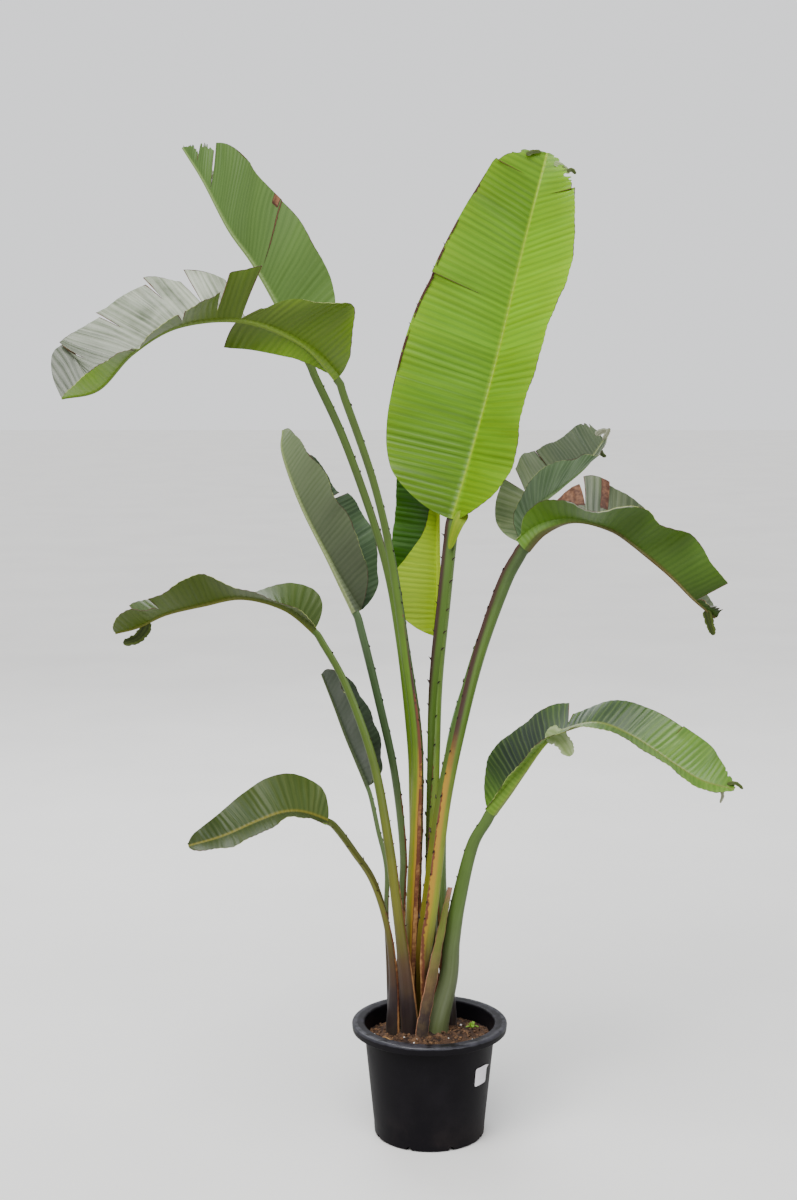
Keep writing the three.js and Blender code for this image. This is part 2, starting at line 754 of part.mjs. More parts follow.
// Soil: the root ball, a little lumpy on top, with a plain hole for each foot
const SOIL_SIDES = 32;
const lump = (x, y) =>
  2.2 * Math.sin(x * 0.11 + 1) * Math.cos(y * 0.09) +
  1.4 * Math.sin(x * 0.05 - y * 0.13);
const HEAP_HIGH = 9;
const HEAP_SPREAD = 70;
const HEAP_SINK = 2;
const heap = (r) => HEAP_HIGH * Math.exp(-Math.pow(r / HEAP_SPREAD, 2)) - HEAP_SINK;
const SOIL_RINGS_R = [106, 90, 72, 52, 30, 12];
const inner = (z) => wallR(z) - POT_WALL - SOIL_GAP - 0.5;
const soilRings = [
  ringOf(POT_BASE_R - 12, 3 + SOIL_GAP, SOIL_SIDES),
  ringOf(POT_BASE_R - 5, 8, SOIL_SIDES),
  ringOf(inner(20), 20, SOIL_SIDES),
  ringOf(inner(SOIL_LEVEL - 4), SOIL_LEVEL - 4, SOIL_SIDES),
];
for (const r of SOIL_RINGS_R) {
  soilRings.push(
    ringOf(r, 0, SOIL_SIDES).map(([x, y]) => [
      x,
      y,
      SOIL_LEVEL + heap(r) + lump(x, y),
    ]),
  );
}
const ball = loft(soilRings.map((ring) => [...ring].reverse()));
let soilBody = solid(ball.points, ball.faces);
for (const s of stalks) {
  const low = [s.low[0], s.low[1], STALK_SINK - HOLE_PLAY];
  const high = [s.low[0], s.low[1], STALK_CLEAR + 10];
  const cut = loft([placed(s.hole, low, s.upright), placed(s.hole, high, s.upright)]);
  soilBody = soilBody.subtract(solid(cut.points, cut.faces));
}

// Label: a blank sticker that follows the wall of the pot
const LABEL_TURN = -36;
const LABEL_WIDE = 34;
const LABEL_LOW = 112;
const LABEL_HIGH = 146;
const LABEL_BACK = 0.4; // its two faces, out from the wall
const LABEL_FRONT = 1.1;
const LABEL_STEPS = 4;
const LABEL_R = 112; // radius of the wall there
const labelRings = [];
for (let i = 0; i <= LABEL_STEPS; i++) {
  const ring = [];
  for (const [z, out] of [
    [LABEL_LOW, LABEL_BACK],
    [LABEL_LOW, LABEL_FRONT],
    [LABEL_HIGH, LABEL_FRONT],
    [LABEL_HIGH, LABEL_BACK],
  ]) {
    const r = wallR(z) + out;
    const across = (i / LABEL_STEPS - 0.5) * LABEL_WIDE;
    const a = LABEL_TURN * DEG + across / LABEL_R;
    ring.push([r * Math.cos(a), r * Math.sin(a), z]);
  }
  labelRings.push(ring);
}
const label = loft(labelRings);
root.add(named("label", label.points, label.faces, 0xe9e4ee, 0.6));

// Old sheath: the dry foot of a lost leaf, a curved strip in front of stalk k
const SHEATH_WIDE = [24, 22, 16, 9];
const SHEATH_THICK = 2.4;
const SHEATH_BOW = 0.18; // share of its width
const SHEATH_STEPS = 8;
const SHEATH = [
  [-14, -20, STALK_SINK],
  [-14, -20, STALK_CLEAR],
  [-4, -19, 250],
  [15, -13, 350],
  [36, -4, 455],
];
const sheathLine = curve(
  SHEATH.slice(1),
  sub(SHEATH[1], [0, 0, 60]),
  beyond(SHEATH[4], SHEATH[3]),
);
const strip = (width, grow) => {
  const ring = [];
  for (const [r, list] of [
    [SHEATH_THICK + grow, [-1, -0.5, 0, 0.5, 1]],
    [-grow, [1, 0.5, 0, -0.5, -1]],
  ]) {
    for (const k of list) {
      const bow = width * SHEATH_BOW * (1 - k * k);
      ring.push([(width / 2 + grow) * k, -bow - r]);
    }
  }
  return ring;
};
const sheathOpen = unit([-0.2, 1, 0]);
const sheathFoot = frameAt([0, 0, 1], sheathOpen);
const sheathRings = [
  placed(strip(SHEATH_WIDE[0], 0), SHEATH[0], sheathFoot),
  placed(strip(SHEATH_WIDE[0], 0), SHEATH[1], sheathFoot),
];
for (let i = 1; i <= SHEATH_STEPS; i++) {
  const t = i / SHEATH_STEPS;
  const frame = frameAt(sheathLine.way(t), sheathOpen);
  sheathRings.push(placed(strip(along(SHEATH_WIDE, t), 0), sheathLine.at(t), frame));
}
const sheath = loft(sheathRings);
const sheathCut = loft([
  placed(strip(SHEATH_WIDE[0], HOLE_PLAY), sub(SHEATH[0], [0, 0, HOLE_PLAY]), sheathFoot),
  placed(strip(SHEATH_WIDE[0], HOLE_PLAY), add(SHEATH[1], [0, 0, 10]), sheathFoot),
]);
soilBody = soilBody.subtract(solid(sheathCut.points, sheathCut.faces));
root.add(fromSolid("soil", soilBody, 0x5a4030, 0.95));
root.add(named("old_sheath", sheath.points, sheath.faces, 0x9a6f45, 0.8));

export default root;
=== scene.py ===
# %% [markdown]
# # A potted bird of paradise
# A clump of eleven long-stalked leaves stands in a black nursery pot. The packed
# model fixes where everything is. This notebook gives each piece its living surface:
# finer sheets for the blades, channelled stalks, crumbly soil and moulded plastic.

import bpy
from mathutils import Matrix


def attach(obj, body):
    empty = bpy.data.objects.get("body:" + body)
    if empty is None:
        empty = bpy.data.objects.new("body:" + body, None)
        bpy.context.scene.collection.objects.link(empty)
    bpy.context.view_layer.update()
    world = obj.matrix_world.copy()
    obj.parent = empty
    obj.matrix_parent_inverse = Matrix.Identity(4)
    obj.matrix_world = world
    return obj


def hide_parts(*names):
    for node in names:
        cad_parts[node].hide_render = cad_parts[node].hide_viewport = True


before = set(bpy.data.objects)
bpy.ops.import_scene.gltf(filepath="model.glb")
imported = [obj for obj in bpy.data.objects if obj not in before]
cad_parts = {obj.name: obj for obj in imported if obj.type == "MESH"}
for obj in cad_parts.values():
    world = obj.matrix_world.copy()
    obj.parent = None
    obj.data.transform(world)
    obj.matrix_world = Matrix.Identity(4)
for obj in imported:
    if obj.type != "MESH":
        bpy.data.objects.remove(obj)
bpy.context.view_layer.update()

# %% Libraries
import math

import bmesh
import bpy
import numpy as np
from mathutils import Matrix, Vector, noise

# %% [markdown]
# ## Camera and light
# The camera stands about three metres away, a little above the middle of the plant,
# and looks slightly down, so the soil shows inside the rim. It could be placed by
# eye, but the oval of the pot's rim in the photograph gave it more closely. The light
# is that of a bright cloudy day: one broad lamp high on the left, a wide one behind
# that lays a pale sheen on the upper sides of the leaves, a weak one low on the right
# that opens the shadows, and a sun so wide that its shadows have no edge.

# %% Camera
def stand_in_scene(name, data):
    """A new object that holds the data, put into the scene."""
    made = bpy.data.objects.new(name, data)
    bpy.context.scene.collection.objects.link(made)
    return made


CAMERA_AT = (-0.056, -3.2, 1.37)
CAMERA_DOWN = math.radians(7.1)
CAMERA_LENS = 55.14

camera_data = bpy.data.cameras.new("camera")
camera_data.lens = CAMERA_LENS
camera_data.clip_end = 50
camera = stand_in_scene("camera", camera_data)
camera.location = CAMERA_AT
camera.rotation_euler = (math.radians(90) - CAMERA_DOWN, 0, 0)
bpy.context.scene.camera = camera
print("camera lens", CAMERA_LENS, "mm")

# %% Lamps and sky
MIDDLE_OF_PLANT = (0, 0, 0.9)


def soft_lamp(name, at, size, power, tint):
    """A square lamp that faces the middle of the plant."""
    data = bpy.data.lights.new(name, "AREA")
    data.size = size
    data.energy = power
    data.color = tint
    lamp = stand_in_scene(name, data)
    lamp.location = at
    aim = Vector(MIDDLE_OF_PLANT) - Vector(at)
    lamp.rotation_euler = aim.to_track_quat("-Z", "Y").to_euler()


soft_lamp("key_lamp", (-2.2, -2.6, 3.6), 2.0, 60, (1.0, 0.98, 0.95))
soft_lamp("sheen_lamp", (-0.8, 2.6, 3.4), 2.6, 80, (0.94, 0.97, 1.0))
soft_lamp("low_fill", (1.7, -2.3, 0.9), 1.6, 24, (0.98, 0.98, 1.0))

cloud_sun = bpy.data.lights.new("cloud_sun", "SUN")
cloud_sun.energy = 3.0
cloud_sun.angle = math.radians(50)
sun = stand_in_scene("cloud_sun", cloud_sun)
sun.rotation_euler = (math.radians(32), math.radians(-14), 0)

SKY_SHOWN = 1.25
SKY_LIGHT = 0.5
sky = bpy.data.worlds.new("studio_sky")
sky.use_nodes = True
air = sky.node_tree
seen = air.nodes.new("ShaderNodeLightPath")
strength = air.nodes.new("ShaderNodeMapRange")
strength.inputs["To Min"].default_value = SKY_LIGHT
strength.inputs["To Max"].default_value = SKY_SHOWN
air.links.new(seen.outputs["Is Camera Ray"], strength.inputs["Value"])
air.links.new(strength.outputs[0], air.nodes["Background"].inputs["Strength"])
air.nodes["Background"].inputs["Color"].default_value = (0.97, 0.98, 1.0, 1)
bpy.context.scene.world = sky
print("sky shows at", SKY_SHOWN, "and lights at", SKY_LIGHT)

# %% [markdown]
# ## Shader helpers
# A material is a small wiring diagram. These helpers add a node, mix two colours or
# do one sum, and return the socket to wire onward, so a recipe reads top to bottom.

# %% Shader helpers
def shade(code):
    """A colour written as on a screen, turned into linear light."""
    parts = [int(code[i:i + 2], 16) / 255 for i in (1, 3, 5)]
    return tuple(((c + 0.055) / 1.055) ** 2.4 if c > 0.04 else c / 12.92 for c in parts) + (1,)


NODE_WIDE, NODE_HIGH, NODES_IN_ROW = 190, -220, 9


def add_node(tree, kind, inputs=None, **settings):
    """Adds a node, sets it up, and wires or fills its inputs. The nodes lie in rows."""
    made = tree.nodes.new("ShaderNode" + kind)
    row, column = divmod(len(tree.nodes), NODES_IN_ROW)
    made.location = (NODE_WIDE * column, NODE_HIGH * row)
    for key, value in settings.items():
        setattr(made, key, value)
    for key, value in (inputs or {}).items():
        if isinstance(value, bpy.types.NodeSocket):
            tree.links.new(value, made.inputs[key])
        else:
            made.inputs[key].default_value = value
    return made


def blend_colour(tree, factor, first, second, way="MIX"):
    made = add_node(tree, "Mix", {0: factor, 6: first, 7: second}, data_type="RGBA", blend_type=way)
    return made.outputs[2]


def sum_of(tree, operation, first, second=0.0, clamp=False):
    made = add_node(tree, "Math", {0: first, 1: second}, operation=operation, use_clamp=clamp)
    return made.outputs[0]


def times(tree, first, second, clamp=False):
    return sum_of(tree, "MULTIPLY", first, second, clamp)


def plus(tree, first, second, clamp=False):
    return sum_of(tree, "ADD", first, second, clamp)


def step_between(tree, value, low, high):
    """0 below low, 1 above high, smooth between."""
    made = add_node(tree, "MapRange", {0: value, 1: low, 2: high}, interpolation_type="SMOOTHSTEP")
    return made.outputs[0]


def measure(tree, name):
    """A number that the mesh carries at each point."""
    return add_node(tree, "Attribute", attribute_name=name).outputs["Fac"]


def new_group(name, inputs, outputs):
    """An empty node group with named sockets."""
    tree = bpy.data.node_groups.new(name, "ShaderNodeTree")
    for label, kind, value in inputs:
        socket = tree.interface.new_socket(label, in_out="INPUT", socket_type="NodeSocket" + kind)
        socket.default_value = value
    for label, kind in outputs:
        tree.interface.new_socket(label, in_out="OUTPUT", socket_type="NodeSocket" + kind)
    source = tree.nodes.new("NodeGroupInput")
    target = tree.nodes.new("NodeGroupOutput")
    return tree, source.outputs, target


def use_group(tree, group, **inputs):
    """Places a group in a material; keyword names are its sockets with _ for a space."""
    named = {key.replace("_", " "): value for key, value in inputs.items()}
    return add_node(tree, "Group", named, node_tree=group).outputs


def new_material(name, **fixed):
    """A material with its shader; fixed are sockets that are alike all over."""
    material = bpy.data.materials.new(name)
    material.use_nodes = True
    tree = material.node_tree
    shader = tree.nodes["Principled BSDF"]
    for key, value in fixed.items():
        shader.inputs[key.replace("_", " ")].default_value = value
    return material, tree, shader


def wire_skin(tree, shader, colour, relief, depth, rough=None):
    """The last wires of every finish: colour, roughness and a relief of a depth in metres."""
    tree.links.new(colour, shader.inputs["Base Color"])
    if rough:
        tree.links.new(rough, shader.inputs["Roughness"])
    made = add_node(tree, "Bump", {"Height": relief, "Distance": depth, "Strength": 1.0})
    tree.links.new(made.outputs[0], shader.inputs["Normal"])


def put_out(tree, result, **values):
    """Wires values to the named outputs of a group."""
    for key, value in values.items():
        tree.links.new(value, result.inputs[key])


print("mid grey #808080 is", round(shade("#808080")[0], 3), "in linear light")

# %% [markdown]
# ## Effects that several finishes share
# The blade of this plant is ribbed by hundreds of fine veins that run side by side
# from the midrib to the margin. A sine of the distance along the midrib gives even
# ribs, and a little noise makes them wander, as real ones do. An image would do it
# too, but it would stretch where the leaf bends; a sum stays sharp at any size.

# %% Effect: parallel veins
CYCLE = 6.283

veins, given, result = new_group(
    "Parallel Veins",
    [("Vein", "Float", 0.0), ("Out", "Float", 0.0), ("Spacing", "Float", 0.01),
     ("Wander", "Float", 5.0)],
    [("Height", "Float"), ("Band", "Float"), ("Line", "Float"), ("Groove", "Float")],
)
cell = sum_of(veins, "DIVIDE", given["Vein"], given["Spacing"])
place = add_node(veins, "CombineXYZ", {
    "X": times(veins, cell, 0.31),
    "Y": times(veins, given["Out"], 1.3),
})
wander = add_node(veins, "TexNoise", {"Vector": place.outputs[0], "Scale": 1.0, "Detail": 2.0})
phase = plus(veins, times(veins, cell, CYCLE),
             times(veins, wander.outputs["Fac"], given["Wander"]))
wave = plus(veins, times(veins, sum_of(veins, "SINE", phase), 0.5), 0.5)
thread = add_node(veins, "TexNoise", {"W": times(veins, cell, 3.7), "Scale": 1.0,
                                      "Detail": 3.0}, noise_dimensions="1D")
broad_place = add_node(veins, "CombineXYZ", {
    "X": times(veins, cell, 0.42),
    "Y": times(veins, given["Out"], 0.7),
})
broad = add_node(veins, "TexNoise", {"Vector": broad_place.outputs[0], "Scale": 1.0, "Detail": 3.0})
height = plus(veins, times(veins, wave, 0.65), times(veins, thread.outputs["Fac"], 0.5))
band = plus(veins, times(veins, broad.outputs["Fac"], 1.1),
            times(veins, thread.outputs["Fac"], 0.5))
put_out(veins, result, Height=height, Band=step_between(veins, band, 0.55, 1.05),
        Line=step_between(veins, wave, 0.72, 1.0),
        Groove=sum_of(veins, "SUBTRACT", 1.0, step_between(veins, wave, 0.0, 0.55)))
print("group", veins.name, "has", len(veins.nodes), "nodes")

# %% [markdown]
# Torn edges die back: the outermost strip turns tan and papery, with a dark
# reddish-brown line where it meets the living green. It could be modelled as a piece
# of its own, but it is part of the same skin. So the mesh says how near an edge is,
# and noise frays the border.

# %% Effect: dry rim
dry_rim, given, result = new_group(
    "Dry Rim",
    [("Dry", "Float", 0.0), ("Fray", "Float", 90.0),
     ("Young", "Color", shade("#4a2c20")), ("Old", "Color", shade("#8e6448"))],
    [("Mask", "Float"), ("Colour", "Color"), ("Height", "Float")],
)
spot = add_node(dry_rim, "TexCoord").outputs["Object"]
fray = add_node(dry_rim, "TexNoise", {"Vector": spot, "Scale": given["Fray"], "Detail": 4.0})
frayed_by = times(dry_rim, sum_of(dry_rim, "SUBTRACT", fray.outputs["Fac"], 0.5), 0.6)
pushed = plus(dry_rim, given["Dry"], frayed_by)
mask = step_between(dry_rim, pushed, 0.5, 0.62)
age = step_between(dry_rim, pushed, 0.75, 1.1)
put_out(dry_rim, result, Mask=mask, Height=times(dry_rim, mask, fray.outputs["Fac"]),
        Colour=blend_colour(dry_rim, age, given["Young"], given["Old"]))
print("group", dry_rim.name, "has", len(dry_rim.nodes), "nodes")

# %% [markdown]
# Blotches, dust and fibres are needed on almost everything, at other sizes, so each
# is built once as a group and placed with its own numbers.
# Blotches are noise with its middle cut out. Dust lies where a surface looks up.
# Fibres are noise that is squeezed across and stretched along a stalk.

# %% Effects: blotches, dust and fibres
blotches, given, result = new_group(
    "Blotches",
    [("Scale", "Float", 20.0), ("Low", "Float", 0.45), ("High", "Float", 0.65)],
    [("Mask", "Float"), ("Grain", "Float")],
)
spot = add_node(blotches, "TexCoord").outputs["Object"]
cloud = add_node(blotches, "TexNoise", {"Vector": spot, "Scale": given["Scale"], "Detail": 5.0,
                                        "Roughness": 0.6})
put_out(blotches, result, Grain=cloud.outputs["Fac"],
        Mask=step_between(blotches, cloud.outputs["Fac"], given["Low"], given["High"]))

dust, given, result = new_group(
    "Settled Dust", [("Amount", "Float", 0.5), ("Scale", "Float", 60.0)], [("Mask", "Float")]
)
upward = add_node(dust, "SeparateXYZ", {0: add_node(dust, "NewGeometry").outputs["Normal"]})
spot = add_node(dust, "TexCoord").outputs["Object"]
speck = add_node(dust, "TexNoise", {"Vector": spot, "Scale": given["Scale"], "Detail": 6.0})
lies = times(dust, step_between(dust, upward.outputs["Z"], 0.05, 0.95),
             step_between(dust, speck.outputs["Fac"], 0.35, 0.7))
put_out(dust, result, Mask=times(dust, lies, given["Amount"]))

fibres, given, result = new_group(
    "Fibres",
    [("Around", "Float", 0.0), ("Run", "Float", 0.0), ("Count", "Float", 30.0)],
    [("Height", "Float"), ("Streak", "Float")],
)
lengthways = add_node(fibres, "CombineXYZ", {
    "X": times(fibres, given["Around"], given["Count"]),
    "Y": times(fibres, given["Run"], 6.0),
})
strand = add_node(fibres, "TexNoise", {"Vector": lengthways.outputs[0], "Scale": 1.0,
                                       "Detail": 3.0})
put_out(fibres, result, Height=strand.outputs["Fac"],
        Streak=step_between(fibres, strand.outputs["Fac"], 0.38, 0.68))
print("groups so far:", sorted(g.name for g in bpy.data.node_groups))

# %% [markdown]
# ## Leaf finishes
# The upper skin is darker and glossier, the underside paler with a waxy bloom. Young
# leaves are a bright yellow-green, old ones deep and bluish. Each side of a leaf has
# four colours: base, lit where light passes through, pale on the veins, and the
# midrib. A picture could be laid on each blade, but one recipe with other colours
# serves all eleven and stays sharp along the tears. The mesh carries where a vein
# starts (vein), how far out a point is (out), where light comes through (lit), the
# waxy bloom with a painted silvery sheen (bloom_and_sheen), the panel's own tone with
# painted light and shade multiplied in (tone_and_painted_light), the midrib (rib), the
# stretches painted near-white as a highlight (painted_highlight) and the dryness (dry).

# %% Leaf skin
def leaf_skin(name, base, lit, pale, rib, gloss, spacing, depth, contrast=1.0, painted_sheen=0.0,
              groove=0.25, wander=5.0):
    """One side of a blade: pale on the veins, a painted silvery sheen over the bloom, groove the
    shade between.
    """
    material, tree, shader = new_material(
        name, Specular_IOR_Level=0.36, Coat_Weight=0.06, Coat_Roughness=0.28, Sheen_Weight=0.02
    )
    vein, out = measure(tree, "vein"), measure(tree, "out")
    ribs = use_group(tree, veins, Vein=vein, Out=out, Spacing=spacing, Wander=wander)
    cloud = use_group(tree, blotches, Scale=9.0, Low=0.35, High=0.7)
    dry = use_group(tree, dry_rim, Dry=measure(tree, "dry"), Fray=140.0)
    colour = blend_colour(tree, measure(tree, "lit"), shade(base), shade(lit))
    # Waxy bloom with a painted silvery sheen: pale vein bands and grey patches lighten the colour.
    bloom_and_sheen = measure(tree, "bloom_and_sheen")
    bands = times(tree, ribs["Band"], times(tree, bloom_and_sheen, 0.45 * contrast), clamp=True)
    colour = blend_colour(tree, bands, colour, shade(pale))
    colour = blend_colour(tree, times(tree, ribs["Line"], 0.25 * contrast), colour,
                          shade(pale))
    grey = times(tree, cloud["Mask"], times(tree, bloom_and_sheen, 0.1 + painted_sheen), clamp=True)
    colour = blend_colour(tree, grey, colour, shade(pale))
    colour = blend_colour(tree, times(tree, ribs["Groove"], groove), colour,
                          (0.4, 0.56, 0.3, 1), "MULTIPLY")
    # Each panel's tone, with the painted light and shade of its half multiplied in.
    tone_and_painted_light = measure(tree, "tone_and_painted_light")
    tones = add_node(tree, "CombineColor", {0: tone_and_painted_light, 1: tone_and_painted_light, 2: tone_and_painted_light}).outputs[0]
    colour = blend_colour(tree, 1.0, colour, tones, "MULTIPLY")
    colour = blend_colour(tree, measure(tree, "rib"), colour, shade(rib))
    # A painted highlight: near-white on chosen stretches near the margin.
    colour = blend_colour(tree, measure(tree, "painted_highlight"), colour, shade("#d9dccb"))
    colour = blend_colour(tree, dry["Mask"], colour, dry["Colour"])
    rough = plus(tree, times(tree, cloud["Grain"], 0.25), gloss - 0.12)
    rough = plus(tree, rough, times(tree, dry["Mask"], 0.35), clamp=True)
    relief = plus(tree, ribs["Height"], times(tree, dry["Height"], 1.2))
    wire_skin(tree, shader, colour, relief, depth, rough)
    return material


def rim_skin():
    """The thin edge of every blade, pale where it lives and brown where it dried."""
    material, tree, shader = new_material("leaf_rim", Roughness=0.7)
    dry = use_group(tree, dry_rim, Dry=measure(tree, "dry"), Fray=200.0)
    colour = blend_colour(tree, dry["Mask"], shade("#a9b268"), dry["Colour"])
    wire_skin(tree, shader, colour, dry["Height"], 0.0003)
    return material


leaf_edge = rim_skin()
print("finish of the rims:", leaf_edge.name)

# %% [markdown]
# ## Lines and sections
# Everything that grew here follows a curve: a stalk rises and arches, and the midrib
# goes on from it. A smooth line through a few chosen points is easy to adjust, and a
# section swept along it gives the body. All lengths in the records below are in
# millimetres, as a gardener would measure them, and become metres in the mesh.

# %% Smooth lists and lines
MM = 0.001


def unit(v):
    return v / np.linalg.norm(v, axis=-1, keepdims=True)


def smooth_between(a, b, d, e, u):
    """The smooth way from b to d at u from 0 to 1, with a before them and e after them."""
    bend = a - 2.5 * b + 2 * d - e / 2 + u * ((e - a) / 2 + 1.5 * (b - d))
    return b + u * ((d - a) / 2 + u * bend)


def along(values, t):
    """Value of an evenly spaced list at t from 0 to 1, smooth between neighbours."""
    v = np.asarray(values, float)
    x = np.clip(t, 0, 1) * (len(v) - 1)
    i = np.minimum(x.astype(int), len(v) - 2)
    u = x - i
    v = np.concatenate([[2 * v[0] - v[1]], v, [2 * v[-1] - v[-2]]])
    return smooth_between(v[i], v[i + 1], v[i + 2], v[i + 3], u)


def value_at(values, t):
    """The same for one place."""
    return float(along(values, np.array(t)))


class Line:
    """A smooth line through points, read by its share of length; straight past its ends."""

    STEPS = 16

    def __init__(self, points, first, last):
        p = np.array([first, *points, last], float)
        u = (np.arange(self.STEPS) / self.STEPS)[:, None]
        parts = [smooth_between(*four, u) for four in zip(p, p[1:], p[2:], p[3:])]
        self.path = np.vstack([*parts, p[-2:-1]])
        steps = np.linalg.norm(np.diff(self.path, axis=0), axis=1)
        self.run = np.concatenate([[0], np.cumsum(steps)])
        self.total = self.run[-1]

    def at(self, t):
        s = np.asarray(t, float) * self.total
        i = np.clip(np.searchsorted(self.run, s, side="right") - 1, 0, len(self.path) - 2)
        f = (s - self.run[i]) / (self.run[i + 1] - self.run[i])
        return self.path[i] + f[..., None] * (self.path[i + 1] - self.path[i])

    def way(self, t):
        t = np.clip(t, 0, 1)
        return unit(self.at(t + 0.01) - self.at(t - 0.01))


def side_frame(way, hint):
    """The direction that leans to the hint, and the one to its right."""
    up = unit(hint - way * np.sum(hint * way, axis=-1, keepdims=True))
    return up, np.cross(way, up)


def wobble(x, seed, size):
    """A smooth wandering number, about -1 to 1, that repeats for the same seed."""
    total = 0
    for k in range(1, 5):
        rate = CYCLE * k / size * (0.8 + 0.13 * ((seed * 7 + k * 3) % 5))
        total = total + np.sin(x * rate + seed * 2.1 * k + k * k) / k
    return total / 1.6


print("halfway along 10, 20 and 40:", value_at([10, 20, 40], 0.5))

# %% Mesh helper
def carry(mesh, numbers):
    """Writes named numbers, one for each point, into a mesh."""
    for key, values in numbers.items():
        layer = mesh.attributes.new(key, "FLOAT", "POINT")
        layer.data.foreach_set("value", np.asarray(values, np.float32))


def make_piece(name, points, faces, materials, nodes=(), numbers=None, choice=None,
               sharp=50):
    """A smooth-shaded piece from points in millimetres. numbers are per point, choice per face."""
    mesh = bpy.data.meshes.new(name)
    mesh.from_pydata((np.asarray(points) * MM).tolist(), [], [list(map(int, f)) for f in faces])
    carry(mesh, numbers or {})
    for material in materials:
        mesh.materials.append(material)
    if choice is not None:
        mesh.polygons.foreach_set("material_index", np.asarray(choice, np.int32))
    mesh.shade_smooth()
    mesh.set_sharp_from_angle(angle=math.radians(sharp))
    made = stand_in_scene(name, mesh)
    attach(made, "root")
    if nodes:
        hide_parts(*nodes)
    return made


def skin_faces(rings, count):
    """Quads between closed rings of points, one ring after the other."""
    faces = []
    for i in range(rings - 1):
        for j in range(count):
            a, b = i * count + j, i * count + (j + 1) % count
            faces.append((a, b, b + count, a + count))
    return faces


def sleeve_faces(rings, count):
    """The faces of a swept body: its skin, seen from outside, and both ends."""
    last = (rings - 1) * count
    return ([face[::-1] for face in skin_faces(rings, count)]
            + [list(range(count)), [last + i for i in range(count)][::-1]])


print("a sleeve of 3 rings of 4 points has", len(sleeve_faces(3, 4)), "faces")

# %% [markdown]
# ## The leaves on record
# stalk runs from the soil to the blade and rib along the blade. face is the way the
# upper side looks at the foot and at the tip. right and left are the halves: wide is
# the half width and fold the upward fold in degrees, both listed from foot to tip,
# and curl the bend in degrees over 100 mm. lean is how far the veins lean to the tip.
# A slit opens from root to the margin; shift, turn and notch give, before and after
# it, the slide along the rib, the added fold and the lost width. wave is how much the
# fold sways, band the coloured edge of a stalk and ragged where a tip frays and how
# deep. lit, dim, bloom_and_sheen and burnt are light, painted light and shade,
# waxy bloom with a painted sheen, and dead margin of each half. painted_sheen is a
# silvery sheen painted on the upper side, and painted_highlight lists stretches painted
# near-white as a highlight. The measures are those of the construction, so every blade
# stays where it belongs. Only the frayed tips and six tears whose lips lap are finer
# than it.

# %% Slits and patches
RIGHT, LEFT = 1, -1


def slit(side, t, root, shift, turn, notch, spread):
    return dict(side=side, t=t, root=root, shift=shift, turn=turn, notch=notch, spread=spread)


def patch(side, start, end, inner, amount):
    """A stretch between two veins, from inner to the margin, dried or painted near-white as a
    highlight.
    """
    return dict(side=side, start=start, end=end, inner=inner, amount=amount)


print("right halves count as", RIGHT, "and left ones as", LEFT)

